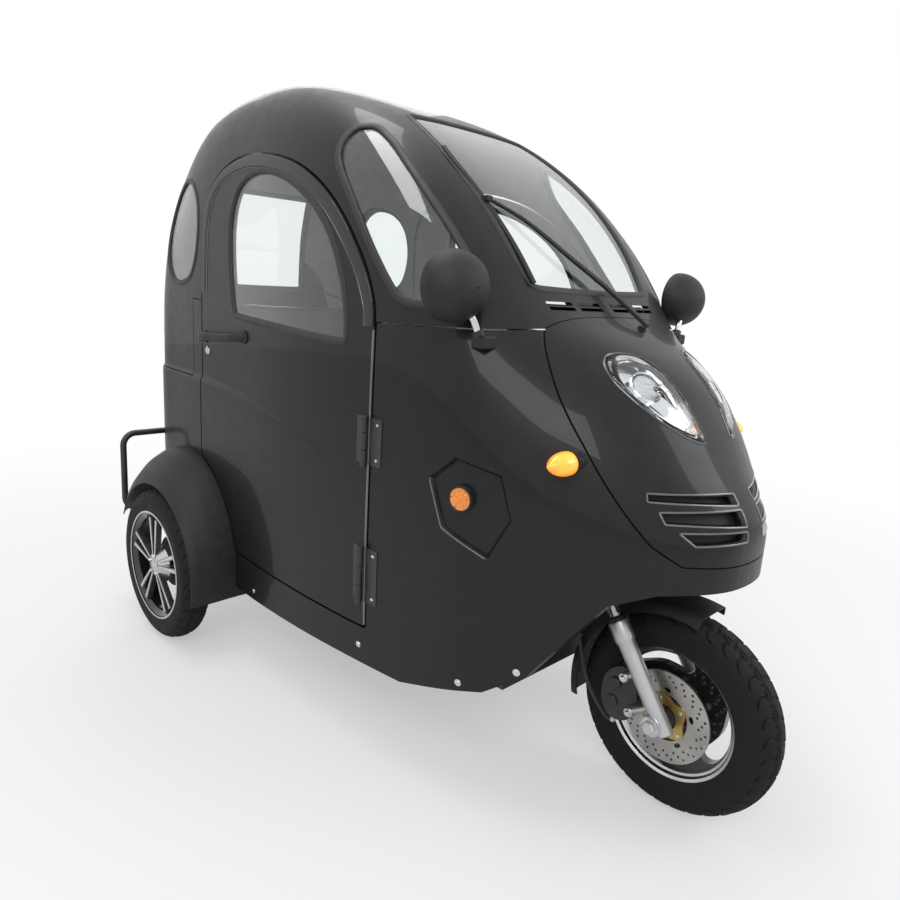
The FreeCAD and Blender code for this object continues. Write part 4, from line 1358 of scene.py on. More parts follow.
@dataclass
class Glazing:
    """Panes with the rubber that holds them."""

    inset: float = 0.003
    thick: float = 0.005
    fit: float = 0.0003
    wide: float = 0.700
    step: float = 0.006

    def build(self) -> None:
        """All panes and their seals."""
        band = cut(new_object("band", BODY.skin(self.inset, 0.7)), BODY.skin(self.inset + self.thick, 0.7))
        self.make_panes(band)
        drop(band)
        self.make_seals()

    def pane(self, band: bpy.types.Object, name: str, form: Form, body: str, node: str) -> None:
        """One pane: what a band of glass under the body's surface shares with a form.

        Args:
            band: the band of glass, which stays as it is.
            name: name of the piece.
            form: closed form that the pane is kept within.
            body: body that it rides on.
            node: CAD node that it stands for.
        """
        self.finish(cut(copy_of(band, name), form, Solver.SHARED), body, (node,))

    def make_panes(self, band: bpy.types.Object) -> None:
        """Side, front, rear and door glass."""
        sides = [(-self.wide, -0.18), (0.18, self.wide)]
        quarter, oval = (prism(drawn(line_of(line), -self.fit), sides) for line in (QUARTER, OVAL))
        screen = prism(drawn(line_of(SCREEN), -self.fit), [(-0.9, 0.06)], axis=1)
        rear = prism(drawn(line_of(REAR_WINDOW), -self.fit), [(0.5, 1.2)], axis=1)
        self.pane(band, "side_panes", quarter.joined(oval), "chassis", "side_glass")
        self.pane(band, "screen_pane", screen, "chassis", "windscreen")
        self.pane(band, "rear_pane", rear, "chassis", "rear_glass")
        for side in Side:
            span = [(-self.wide, -0.1)] if side is Side.RIGHT else [(0.1, self.wide)]
            window = prism(drawn(line_of(WINDOW), -self.fit), span)
            self.pane(band, f"door_pane_{side.word}", window, f"door_{side.word}", f"door_{side.word}_glass")

    def make_seals(self) -> None:
        """The rubber round every pane, slim in the body and deep in the doors."""
        slim = [(-0.0115, -0.0045), (-0.0115, -0.001), (-0.009, 0.0012), (-0.002, 0.0022), (0.002, 0.0018),
                (0.0035, 0.0002), (0.0030, -0.0012), (-0.0006, -0.0022), (-0.0010, -0.0150),
                (-0.0030, -0.0175), (-0.0060, -0.0150), (-0.0065, -0.0090)]
        deep = [(-0.0125, -0.0100), (-0.0125, -0.0025), (-0.0100, 0.0008), (-0.002, 0.0020), (0.0020, 0.0016),
                (0.0034, 0.0002), (0.0030, -0.0012), (-0.0006, -0.0022), (-0.0010, -0.0185),
                (-0.0040, -0.0200), (-0.0110, -0.0185)]
        for side in Side:
            for name, line, body, profile in (("quarter_seal", QUARTER, "chassis", slim),
                                              ("oval_seal", OVAL, "chassis", slim),
                                              ("window_seal", WINDOW, f"door_{side.word}", deep)):
                path = BODY.side(spaced(line_of(line), self.step), side.value)
                self.seal(f"{name}_{side.word}", path, profile, body)
        screen, rear = spaced(line_of(SCREEN), self.step), spaced(line_of(REAR_WINDOW), self.step)
        self.seal("screen_seal", BODY.front(screen), slim, "chassis")
        self.seal("rear_seal", BODY.front(rear, rear=True), slim, "chassis")

    def finish(self, item: bpy.types.Object, body: str, nodes: Sequence[str]) -> None:
        """Glass with the body's own curve in its shading."""
        dress(item, body, GLASS, nodes)
        BODY.shade(item, self.inset, self.inset + self.thick)
        item.data.polygons.foreach_set("material_index", [0] * len(item.data.polygons))

    @staticmethod
    def seal(name: str, path: Array, profile: Points, body: str, finish: Finish = RUBBER) -> bpy.types.Object:
        """A profile carried round an opening, its across direction pointing away from the opening.

        Args:
            name: name of the piece.
            path: closed line of points on the body.
            profile: (across, out) points of the section.
            body: body that it rides on.
            finish: its finish.

        Returns:
            The piece.
        """
        normals = BODY.normal(path)
        middle = path.mean(axis=0)
        along = np.roll(path, -1, axis=0) - np.roll(path, 1, axis=0)
        outward = np.sum(np.cross(along, normals) * (path - middle), axis=1).sum() > 0.0
        if not outward:
            path, normals = path[::-1], normals[::-1]
        item = new_object(name, carried(path, normals, profile))
        return dress(sharpened(item, 50.0), body, finish)


# Wheels


def flat_ring(radius: float, count: int = 64, centre: tuple[float, float] = (0.0, 0.0)) -> Array:
    """Points of a circle in a plane.

    Args:
        radius: the circle's radius.
        count: number of points.
        centre: its middle.

    Returns:
        The points.
    """
    angle = np.linspace(0.0, TAU, count, endpoint=False)
    return np.stack([centre[0] + radius * np.cos(angle), centre[1] + radius * np.sin(angle)], axis=1)


def round_array(outline: Array, count: int, start: float = 0.0) -> list[Array]:
    """An outline repeated round the origin at even angles.

    Args:
        outline: points of a plane about the origin.
        count: number of copies.
        start: angle of the first, in radians.

    Returns:
        The copies.
    """
    copies = []
    for angle in start + TAU * np.arange(count) / count:
        turn = np.array([[math.cos(angle), math.sin(angle)], [-math.sin(angle), math.cos(angle)]])
        copies.append(outline @ turn)
    return copies


def bolt(centre: Points, way: Points, radius: float, height: float, sides: int = 6) -> Form:
    """A bolt head: a washer, and a chamfered head with flat sides, standing on a point along a direction.

    Args:
        centre: point that the head stands on.
        way: direction that it stands along.
        radius: the head's radius.
        height: its height.
        sides: number of flat sides, many for a round head.

    Returns:
        The head.
    """
    profile = [(0.0, radius * 1.45), (height * 0.22, radius * 1.45), (height * 0.25, radius),
               (height * 0.85, radius), (height, radius * 0.82)]
    form = turned(profile, sides, axis_end=True)
    return form.moved(turn_to(np.asarray(way, float) / np.linalg.norm(way)), centre)


@dataclass
class Tyre:
    """A tyre with a tread of overlapping scales."""

    name: str
    body: str
    node: str
    centre: tuple[float, float, float]
    radius: float
    width: float
    rim: float
    rows: int = 800
    columns: int = 64
    scales: int = 34
    groove: float = 0.0036
    tread_turn: float = 64.0
    bead_turn: float = 112.0

    def build(self) -> None:
        """The surface: a rounded section turned about X, with the grooves taken off its radius."""
        phi = np.radians(np.linspace(-self.bead_turn, self.bead_turn, self.columns))[None, :]
        angle = np.linspace(0.0, TAU, self.rows, endpoint=False)[:, None]
        half, rise = self.width / 2.0, self.radius - self.rim
        middle = self.rim + 0.40 * rise
        depth = self.groove * self.pattern(phi, angle)
        x = half * np.sign(np.sin(phi)) * np.abs(np.sin(phi)) ** 0.85
        lift = np.sign(np.cos(phi)) * np.abs(np.cos(phi)) ** 0.85
        reach = np.where(lift > 0.0, (self.radius - middle) * lift, (middle - self.rim + 0.004) * lift / 0.44)
        side_ring = 0.0008 * np.exp(-((np.degrees(np.abs(phi)) - 84.0) / 2.5) ** 2)
        radius = middle + reach - depth * np.cos(phi)
        across = x * (1.0 + side_ring / half) - np.sign(x) * depth * np.abs(np.sin(phi))
        points = np.stack([across + 0.0 * angle, radius * np.cos(angle), radius * np.sin(angle)], axis=-1)
        form = grid(points + np.asarray(self.centre), loop_rows=True, loop_columns=True)
        item = put(self.name, form, self.body, TYRE, (self.node,), angle=42.0)
        LOG.info("%s tread grooves %.1f mm deep", item.name, self.groove / MM)

    def pattern(self, phi: Array, angle: Array) -> Array:
        """Groove mask of overlapping scales.

        Rows of ovals lie round the tyre, each covering a part of the next. With f the share of the way from
        one oval to the next and w the distance across it, an oval's edge is where
        sqrt(w^2 + (f / reach)^2) is 1. A groove follows the edge of the oval on top, and of the next one
        where the first doesn't cover it.

        Args:
            phi: angle round the tyre's section, as a row.
            angle: angle round the wheel, as a column.

        Returns:
            Depth of the groove from 0 to 1 at each pair of angles.
        """
        u = np.degrees(phi) / self.tread_turn
        v = angle * self.scales / TAU
        mask = np.zeros(np.broadcast_shapes(u.shape, v.shape))
        for level, shift, tall in ((-0.62, 0.25, 0.42), (0.0, 0.0, 0.38), (0.62, 0.75, 0.42)):
            share = (v + shift) % 1.0
            across = (u - level) / tall
            top = np.sqrt(across ** 2 + ((share - 1.0) / 0.95) ** 2)
            below = np.sqrt(across ** 2 + (share / 0.95) ** 2)
            ring = 1.0 - np.clip(np.abs(top - 1.0) / 0.10, 0.0, 1.0) ** 2
            under = (1.0 - np.clip(np.abs(below - 1.0) / 0.10, 0.0, 1.0) ** 2) * (top > 1.0)
            mask = np.maximum(mask, np.maximum(ring, under) * (np.abs(across) < 1.12))
        edge = np.clip((1.04 - np.abs(u)) / 0.05, 0.0, 1.0)
        return mask * edge


@dataclass
class FrontWheel:
    """Tyre, cast wheel with three wide spokes, drilled disc and its gold carrier."""

    centre: tuple[float, float, float] = (0.0, -0.700, 0.206)
    radius: float = 0.206
    width: float = 0.076
    rim: float = 0.139
    disc: float = 0.092
    body: str = "front_wheel"

    def build(self) -> None:
        """All pieces of the wheel."""
        Tyre("front_tyre_tread", self.body, "front_tyre", self.centre, self.radius, self.width,
             self.rim - 0.003).build()
        rim = self.rim
        lip = [(-0.034, rim - 0.006), (-0.0345, rim), (-0.0325, rim + 0.0012), (-0.029, rim),
               (-0.026, rim - 0.006), (0.026, rim - 0.006), (0.029, rim), (0.0325, rim + 0.0012),
               (0.0345, rim), (0.034, rim - 0.006), (0.031, rim - 0.012), (0.024, rim - 0.014),
               (0.0225, rim - 0.019), (-0.0225, rim - 0.019), (-0.024, rim - 0.014), (-0.031, rim - 0.012)]
        self.add("front_rim_lip", turned(lip, 160), MACHINED, "front_wheel_cast", ("front_rim",),
                 bevel=0.0006)
        web = turned([(-0.009, 0.030), (-0.012, 0.050), (-0.008, 0.080), (-0.010, rim - 0.018),
                      (0.010, rim - 0.018), (0.008, 0.080), (0.012, 0.050), (0.009, 0.030)], 128)
        dish = new_object("front_dish", web)
        drop_line = rounded(np.array(self.teardrop()) * MM, 3)
        for line in round_array(drop_line, 3, 0.5):
            cut(dish, prism(line, [(-0.05, 0.05)]))
        self.shift(dish)
        dress(bevelled(dish, 0.0018), self.body, GLOSS_BLACK)
        hub = turned([(-0.030, 0.0104), (-0.030, 0.026), (-0.027, 0.032), (-0.013, 0.034), (0.013, 0.034),
                      (0.027, 0.032), (0.030, 0.026), (0.030, 0.0104)], 64)
        self.add("front_hub", hub, CAST_BLACK, "front_wheel_cast", bevel=0.0008)
        self.make_disc()
        valve = rod((0.014, 0.0, -rim + 0.016), (0.030, 0.0, -rim + 0.030), 0.0032)
        self.add("front_valve", valve, RUBBER, "tyre")

    def make_disc(self) -> None:
        """The drilled ring, its carrier with bolts, and the black centre."""
        disc = new_object("disc_ring", turned([(-0.049, 0.047), (-0.049, self.disc), (-0.045, self.disc),
                                               (-0.045, 0.047)], 120))
        holes = []
        for k, radius in enumerate((0.084, 0.077, 0.070)):
            holes += round_array(flat_ring(0.0026, 12, (radius, 0.0)), 20, 0.105 * k)
        holes += round_array(rounded(np.array([(0.0520, -0.007), (0.0605, -0.007), (0.0605, 0.007),
                                               (0.0520, 0.007)]), 2), 5, 0.3)
        cut(disc, as_one([prism(hole, [(-0.06, -0.04)]) for hole in holes]))
        self.shift(disc)
        dress(bevelled(disc, 0.0004), self.body, DISC_STEEL, ("brake_disc",))
        star = []
        for k in range(60):
            angle = TAU * k / 60
            star.append((0.044 + 0.0045 * math.cos(5 * angle), angle))
        outline = np.array([(r * math.cos(a), r * math.sin(a)) for r, a in star])
        carrier = cut(new_object("disc_carrier", prism(outline, [(-0.0520, -0.0442)])),
                      prism(flat_ring(0.026), [(-0.07, -0.03)]))
        self.shift(carrier)
        dress(bevelled(carrier, 0.0008), self.body, GOLD)
        bolts = [bolt((-0.0518, y, z), (-1.0, 0.0, 0.0), 0.0036, 0.003) for y, z in
                 (round_array(np.array([(0.0395, 0.0)]), 5)[k][0] for k in range(5))]
        self.add("disc_bolts", as_one(bolts), MACHINED, "disc_steel")
        centre = turned([(-0.046, 0.0105), (-0.046, 0.022), (-0.044, 0.025), (-0.030, 0.025),
                         (-0.030, 0.0105)], 48)
        self.add("disc_centre", centre, CAST_BLACK, "front_wheel_cast", bevel=0.0006)

    @staticmethod
    def teardrop() -> list[tuple[float, float]]:
        """One opening: a long drop whose outer side follows the rim and whose wide end is round."""
        line = [(117.0, angle) for angle in (-8, 4, 16, 28, 40, 50)]
        line += [(114.0, 56), (109.0, 50), (98.0, 26), (88.0, 8), (84.0, -6), (88.0, -15), (98.0, -19),
                 (110.0, -16)]
        return [(-r * math.cos(math.radians(a)), r * math.sin(math.radians(a))) for r, a in line]

    def shift(self, item: bpy.types.Object) -> None:
        """Puts a piece made round the origin on its axle, in its mesh."""
        item.data.transform(Matrix.Translation(self.centre))

    def add(self, name: str, form: Form, finish: Finish, slot: str, hides: Sequence[str] = (),
            bevel: float = 0.0) -> None:
        """A piece on the wheel.

        Args:
            name: name of the piece.
            form: its form round the origin.
            finish: its finish.
            slot: material slot of the frame; not used.
            hides: CAD nodes that it stands for.
            bevel: width of the edges' rounding, or none.
        """
        item = new_object(name, form.at(self.centre))
        if bevel:
            bevelled(item, bevel)
        else:
            sharpened(item)
        dress(item, self.body, finish, hides)


@dataclass
class RearWheel:
    """Tyre and alloy wheel with five split spokes, machined on their faces."""

    side: Side
    axle_y: float = 0.577
    radius: float = 0.2046
    width: float = 0.077
    rim: float = 0.148
    track: float = 0.938

    def build(self) -> None:
        """All pieces of the wheel; the outer face looks along -X on the right."""
        word, sign = self.side.word, self.side.value
        body = f"rear_wheel_{word}"
        centre = np.array((sign * self.track / 2.0, self.axle_y, self.radius))
        Tyre(f"rear_tread_{word}", body, f"rear_tyre_{word}", tuple(centre), self.radius, self.width,
             self.rim - 0.003, 560, 44).build()
        rim = self.rim
        barrel = turned([(-0.036, rim - 0.004), (-0.0365, rim), (-0.0345, rim + 0.001), (-0.031, rim - 0.001),
                         (-0.028, rim - 0.006), (0.028, rim - 0.006), (0.031, rim - 0.001),
                         (0.0345, rim + 0.001), (0.0365, rim), (0.036, rim - 0.006), (0.022, rim - 0.020),
                         (-0.024, rim - 0.018), (-0.032, rim - 0.0105)], 160)
        self.add(f"rear_barrel_{word}", barrel, centre, GLOSS_BLACK, body, (f"rear_rim_{word}",), 0.0006)
        lip = turned([(-0.0372, rim - 0.0052), (-0.0374, rim - 0.0005), (-0.0355, rim + 0.0016),
                      (-0.0345, rim + 0.0011), (-0.0362, rim - 0.0004), (-0.0362, rim - 0.0052)], 160)
        self.add(f"rear_lip_{word}", lip, centre, MACHINED, body)
        arms, faces = [], []
        for k in range(5):
            for hand in (-1.0, 1.0):
                line = np.array([(hand * 2.0, 20.0), (hand * 9.5, 20.0), (hand * 26.0, 131.0),
                                 (hand * 12.0, 131.0)]) * MM
                arms.append((line, k))
                faces.append((np.array([(hand * 3.6, 26.0), (hand * 8.0, 26.0), (hand * 23.5, 129.0),
                                        (hand * 14.5, 129.0)]) * MM, k))
        for name, lines, span, finish, bevel in (
                (f"rear_spokes_{word}", arms, (-0.0330, -0.0180), GLOSS_BLACK, 0.0012),
                (f"rear_spoke_faces_{word}", faces, (-0.0338, -0.0331), MACHINED, 0.0003)):
            forms = [prism(round_array(line, 5)[k], [span]) for line, k in lines]
            self.add(name, as_one(forms), centre, finish, body, (), bevel)
        hub = turned([(-0.0350, 0.0), (-0.0350, 0.014), (-0.0335, 0.017), (-0.0320, 0.030), (-0.0280, 0.034),
                      (-0.0120, 0.052), (-0.0080, 0.052), (-0.0080, 0.0125), (-0.0240, 0.0125),
                      (-0.0240, 0.0)], 64)
        self.add(f"rear_hub_{word}", hub, centre, MACHINED, body, (), 0.0006)
        nuts = [bolt((-0.0310, y, z), (-1.0, 0.0, 0.0), 0.0042, 0.006) for y, z in
                (item[0] for item in round_array(np.array([(0.0245, 0.0)]), 5, 0.3))]
        self.add(f"rear_nuts_{word}", as_one(nuts), centre, STANCHION, body)

    def add(self, name: str, form: Form, centre: Array, finish: Finish, body: str, hides: Sequence[str] = (),
            bevel: float = 0.0) -> None:
        """A piece of the wheel, turned over for the left side.

        Args:
            name: name of the piece.
            form: its form round the origin, made for the right side.
            centre: the wheel's centre.
            finish: its finish.
            body: body that it rides on.
            hides: CAD nodes that it stands for.
            bevel: width of the edges' rounding, or none.
        """
        if self.side is Side.LEFT:
            form = form.mirrored()
        item = new_object(name, form.at(centre))
        if bevel:
            bevelled(item, bevel)
        else:
            sharpened(item)
        dress(item, body, finish, hides)


# The fork with its brake and guard


@dataclass
class Fork:
    """Telescopic legs, axle, caliper with its lugs, guard over the tyre, and the hose."""

    rake: float = 35.0
    spread: float = 0.084
    disc_room: float = 0.102
    lead: float = 0.012
    wheel: tuple[float, float, float] = (0.0, -0.700, 0.206)
    hose_route: Points = ((-62, -600, 164.7), (-62, -594, 132), (-62, -500, 236), (-62, -480, 404))

    def __post_init__(self) -> None:
        """Directions along and across the raked legs."""
        turn = math.radians(self.rake)
        self.up = np.array((0.0, math.sin(turn), math.cos(turn)))
        self.ahead = np.array((0.0, -math.cos(turn), math.sin(turn)))

    def at(self, along: float, x: float) -> Array:
        """A point on a leg's centre line, given in metres up from the axle."""
        return np.asarray(self.wheel) + self.ahead * self.lead + self.up * along + np.array((x, 0.0, 0.0))

    def leg_form(self, x: float, profile: Points) -> Form:
        """A profile (distance up the leg, radius) turned about the leg's line.

        Args:
            x: where the leg is.
            profile: (distance up the leg, radius) in millimetres.

        Returns:
            The form.
        """
        form = turned(np.asarray(profile) * MM, 40, axis_end=True)
        side = np.array((1.0, 0.0, 0.0))
        return form.moved(np.stack([self.up, side, np.cross(self.up, side)], axis=1), self.at(0.0, x))

    def build(self) -> None:
        """All pieces of the fork."""
        legs, tubes, wipers = [], [], []
        for sign in (-1.0, 1.0):
            x = sign * self.spread
            legs.append(self.leg_form(x, [(-26, 12), (-24, 16), (-20, 17), (120, 17), (128, 17.6),
                                          (156, 17.8), (160, 20), (164, 20.6), (196, 20.6), (199, 20),
                                          (200, 17), (201.5, 14)]))
            tubes.append(self.leg_form(x, [(199, 13), (364, 13)]))
            wipers.append(self.leg_form(x, [(200, 15.5), (201, 17.5), (206, 17), (209, 14.5), (210, 13.3)]))
            place = np.asarray(self.wheel) + np.array((x, 0.0, 0.0))
            legs.append(rod(place - (0.018, 0.0, 0.0), place + (0.018, 0.0, 0.0), 0.021, 40))
        axle = rod(np.asarray(self.wheel) - (0.105, 0.0, 0.0), np.asarray(self.wheel) + (0.105, 0.0, 0.0),
                   0.010)
        self.add("fork_sliders", legs, SILVER, "fork_silver", ("fork_legs",))
        self.add("fork_tubes", tubes, STANCHION, "fork_silver")
        self.add("fork_dust_seals", wipers, RUBBER, "fork_silver")
        nuts = [bolt(np.asarray(self.wheel) + (sign * 0.102, 0.0, 0.0), (sign, 0.0, 0.0), 0.0135, 0.011)
                for sign in (-1.0, 1.0)]
        self.add("fork_axle", [axle] + nuts, MACHINED, "fork_silver")
        self.make_brake()
        self.make_guard()
        self.make_hose()

    def make_brake(self) -> None:
        """The caliper: a rounded body over the disc with two pistons, and its two lugs on the leg."""
        y, z = self.wheel[1], self.wheel[2]
        outline = np.array([(48, -1), (52, 34), (60, 72), (88, 78), (120, 56), (132, 19), (126, -26),
                            (100, -46), (64, -34)])
        line = rounded(outline * MM, 2) + (y, z)
        body = new_object("caliper", prism(line, [(-0.072, -0.030)]))
        slot = turned([(-0.053, 0.005), (-0.053, self.disc_room), (-0.041, self.disc_room),
                       (-0.041, 0.005)], 96)
        cut(body, slot.at(self.wheel))
        near = turned([(-0.040, 0.113), (-0.020, 0.113), (-0.020, 0.200), (-0.040, 0.200)], 96)
        cut(body, near.at(self.wheel))
        leg_room = self.leg_form(-self.spread, [(-30, 17.4), (230, 17.4)])
        cut(body, leg_room)
        dress(bevelled(body, 0.0025, 3), "fork", CAST_BLACK, ("brake_caliper",))
        parts = []
        for along, reach in ((0.030, 0.058), (0.095, 0.036)):
            start = self.at(along, -self.spread)
            eye = start - self.ahead * reach
            parts.append(rod(start, eye, 0.0065))
            parts.append(rod((-0.0925, eye[1], eye[2]), (-0.0722, eye[1], eye[2]), 0.0095))
        self.add("caliper_lugs", parts, SILVER, "fork_silver")
        bolts = []
        for along, reach in ((0.030, 0.058), (0.095, 0.036)):
            eye = self.at(along, -self.spread) - self.ahead * reach
            bolts.append(bolt((-0.0925, eye[1], eye[2]), (-1.0, 0.0, 0.0), 0.0055, 0.005))
        self.add("caliper_bolts", bolts, MACHINED, "brake_black")
        caps = [rod((-0.0765, y + dy, z + dz), (-0.0715, y + dy, z + dz), 0.013, 32) for dy, dz in
                ((0.100, 0.034), (0.104, -0.006))]
        self.add("caliper_caps", caps, CAST_BLACK, "brake_black")

    def make_guard(self) -> None:
        """The guard: its section turned about the axle over the top and the rear of the tyre."""
        radius = 0.222
        section = np.array([(-54, -18), (-50, -8), (-46, 1), (-38, 4.4), (0, 5.2), (38, 4.4), (46, 1),
                            (50, -8), (54, -18), (51.5, -18.6), (47.5, -8.6), (43.5, -1.0), (37, 1.8),
                            (0, 2.6), (-37, 1.8), (-43.5, -1.0), (-47.5, -8.6), (-51.5, -18.6)]) * MM
        angle = np.radians(np.linspace(-13.0, 102.0, 60))[:, None]
        reach = radius + section[None, :, 1]
        points = np.stack([section[None, :, 0] + 0.0 * angle, reach * np.cos(angle), reach * np.sin(angle)],
                          axis=-1)
        form = grid(points + np.asarray(self.wheel), loop_columns=True, capped=True)
        stays = []
        for sign in (-1.0, 1.0):
            corner = self.at(0.190, 0.0) + self.ahead * 0.002
            stays.append(rod(corner + (sign * 0.046, 0.012, -0.004), corner + (sign * 0.0625, 0.004, 0.008),
                             0.009))
        item = new_object("front_guard", form)
        dress(sharpened(item, 50.0), "fork", MATTE_BLACK, ("front_mudguard",))
        self.add("guard_stays", stays, MATTE_BLACK, "matte_black")

    def make_hose(self) -> None:
        """The brake hose along its route, with a ferrule at the caliper."""
        curve = bpy.data.curves.new("hose", "CURVE")
        curve.dimensions = "3D"
        curve.bevel_depth = 0.004
        curve.bevel_resolution = 4
        curve.use_fill_caps = True
        curve.resolution_u = 24
        line = curve.splines.new("NURBS")
        route = np.asarray(self.hose_route, float) * MM
        line.points.add(len(route) - 1)
        line.points.foreach_set("co", np.column_stack([route, np.ones(len(route))]).ravel())
        line.order_u = 3
        line.use_endpoint_u = True
        item = bpy.data.objects.new("brake_line", curve)
        bpy.context.scene.collection.objects.link(item)
        curve.materials.append(HOSE.material())
        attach(item, "fork")
        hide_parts("brake_hose")
        ferrule = rod(route[0] + (0.0, -0.001, 0.006), route[0] + (0.0, 0.003, -0.014), 0.0058)
        self.add("hose_ferrule", [ferrule], STANCHION, "hose_rubber")

    @staticmethod
    def add(name: str, forms: Sequence[Form], finish: Finish, slot: str, hides: Sequence[str] = ()) -> None:
        """Several forms as one piece on the fork."""
        item = new_object(name, as_one(forms))
        dress(sharpened(item), "fork", finish, hides)


# The nose: lamps, slots, indicators and reflectors


@dataclass
class Nose:
    """Headlights with bowl and lens, slot backing and lips, indicators and reflectors."""

    depth: float = 0.046
    bulb: tuple[float, float] = (-0.106, 0.846)
    amber: tuple[float, float] = (-0.060, 0.772)
    stalk: tuple[float, float] = (-0.591, 0.718)
    reflector: tuple[float, float] = (-0.417, 0.623)

    def build(self) -> None:
        """Everything on the nose."""
        for side in Side:
            self.make_headlight(side)
            self.make_indicator(side)
            self.make_reflector(side)
        self.make_slots()

    def make_headlight(self, side: Side) -> None:
        """A black rim, a chromed bowl that narrows inwards, two lamps and a clear lens over them."""
        word = side.word
        line = spaced(line_of(HEADLIGHT), 0.004) * (-side.value, 1.0)
        rim = [(-0.0035, -0.0170), (-0.0035, 0.0006), (-0.0015, 0.0016), (0.0005, 0.0006), (0.0008, -0.0170)]
        Glazing.seal(f"headlight_rim_{word}", BODY.front(drawn(line, -0.0005)), rim, "chassis", GLOSS_BLACK)
        nodes = ("headlights",) if side is Side.RIGHT else ()
        dress(new_object(f"headlight_bowl_{word}", self.bowl(line)), "chassis", CHROME, nodes)
        dress(new_object(f"headlight_lens_{word}", self.lens(line)), "chassis", CLEAR_LENS)
        self.make_lamp(side, "lamp", self.bulb, 0.034, 0.020, STANCHION, LAMP_WHITE)
        self.make_lamp(side, "flasher", self.amber, 0.010, 0.016, CHROME, AMBER)

    def bowl(self, line: Array) -> Form:
        """The bowl: the outline drawn together about its middle while it goes back into the nose."""
        middle = line.mean(axis=0)
        rings = []
        for share, back in ((0.985, 0.010), (0.955, 0.024), (0.84, 0.038), (0.62, self.depth),
                            (0.30, self.depth + 0.003), (0.02, self.depth + 0.004)):
            rings.append(BODY.front(middle + (line - middle) * share) + (0.0, back, 0.0))
        outer = np.array(rings)
        back_side = np.flip(outer, axis=0) + (0.0, 0.002, 0.0)
        return grid(np.vstack([outer, back_side]), loop_rows=True, loop_columns=True).outward()

    @staticmethod
    def lens(line: Array) -> Form:
        """The lens: a thin closed shell on the body's own surface, a little domed."""
        middle = line.mean(axis=0)
        edge = drawn(line, -0.0042)
        layers = [BODY.front(edge, -0.0028), BODY.front(edge, 0.0006)]
        shares = (0.8, 0.55, 0.3, 0.05)
        layers += [BODY.front(middle + (edge - middle) * share, 0.0006 + 0.0012 * (1.0 - share))
                   for share in shares]
        layers += [BODY.front(middle + (edge - middle) * share, -0.0028) for share in reversed(shares)]
        return grid(np.array(layers), loop_rows=True, loop_columns=True).outward()

    @staticmethod
    def make_lamp(side: Side, name: str, spot: tuple[float, float], radius: float, deep: float,
                  rim: Finish, glass: Finish) -> None:
        """A round lamp in the bowl: a rim and a domed glass, facing along the body's normal.

        Args:
            side: side of the vehicle.
            name: word in the pieces' names.
            spot: (x, z) on the right side, seen from the front.
            radius: the lamp's radius.
            deep: how far it lies behind the body's surface.
            rim: finish of the rim.
            glass: finish of the glass.
        """
        front = BODY.front(np.array([(-side.value * spot[0], spot[1])]))
        way = -BODY.normal(front)[0]
        place = front[0] + way * deep
        ring = turned([(0.004, radius * 0.86), (-0.006, radius * 0.86), (-0.008, radius * 0.93),
                       (-0.006, radius), (0.012, radius * 0.8)], 48)
        ball = turned([(0.000, radius * 0.85), (-0.006, radius * 0.72), (-0.010, radius * 0.45),
                       (-0.012, radius * 0.15), (-0.012, 0.0001), (0.002, 0.0001)], 48)
        turn = turn_to(way)
        put(f"headlight_{name}_ring_{side.word}", ring.moved(turn, place).outward(), "chassis", rim)
        dress(new_object(f"headlight_{name}_{side.word}", ball.moved(turn, place).outward()), "chassis",
              glass)

    @staticmethod
    def make_slots() -> None:
        """A dark box behind the slots and a raised lip round each slot, the lips in a lighter paint that is a
        painted highlight.
        """
        x = np.linspace(-0.200, 0.200, 41)
        z = np.linspace(0.584, 0.684, 12)
        flat = np.stack(np.meshgrid(x, z, indexing="ij"), axis=-1)
        outer = BODY.front(flat, -0.021)
        inner = BODY.front(flat, -0.024)
        points = np.concatenate([outer, inner[:, ::-1]], axis=1)
        box = grid(points, loop_columns=True, capped=True).outward()
        put("slot_backing", box, "chassis", MATTE_BLACK)
        vent = BODY.front(np.stack(np.meshgrid(np.linspace(-0.186, 0.186, 21), np.linspace(0.952, 0.979, 5),
                                               indexing="ij"), axis=-1), -0.0165)
        points = np.concatenate([vent, vent[:, ::-1] + (0.0, 0.003, 0.0)], axis=1)
        plate = grid(points, loop_columns=True, capped=True).outward()
        put("vent_backing", plate, "chassis", MATTE_BLACK)
        lip = [(-0.0012, -0.0120), (-0.0012, 0.0004), (0.0002, 0.0012), (0.0018, 0.0010), (0.0024, -0.0006),
               (0.0010, -0.0120)]
        for k, slot in enumerate(SLOTS):
            for side in Side:
                line = spaced(np.array(slot) * MM, 0.003) * (-side.value, 1.0)
                # each lip's lighter paint is a painted highlight along the slot's edge
                Glazing.seal(f"slot_lip_{k}_{side.word}", BODY.front(line), lip, "chassis", PAINTED_HIGHLIGHT)

    def make_indicator(self, side: Side) -> None:
        """A ribbed black stalk, a socket and a pointed oval lens."""
        word = side.word
        y, z = self.stalk
        place = (0.0, y, z)
        profile = [(0.238, 0.0095), (0.256, 0.0095)]
        for k in range(4):
            start = 0.257 + 0.0065 * k
            profile += [(start, 0.0115), (start + 0.001, 0.0155), (start + 0.0035, 0.0155),
                        (start + 0.0045, 0.0115)]
        profile += [(0.285, 0.011), (0.291, 0.017), (0.2935, 0.0195)]
        nodes = ("front_indicators",) if side is Side.RIGHT else ()
        for name, points, finish, hides in (("indicator_stalk", profile, RUBBER, nodes),
                                            ("indicator_lens", self.lens_profile(), AMBER_LIT, ())):
            form = turned(points, 56, axis_end=True)
            form = Form(form.points * (1.0, 1.0, 0.95) + place, form.faces)
            if side is Side.RIGHT:
                form = form.mirrored()
            put(f"{name}_{word}", form, "chassis", finish, hides, angle=40.0)

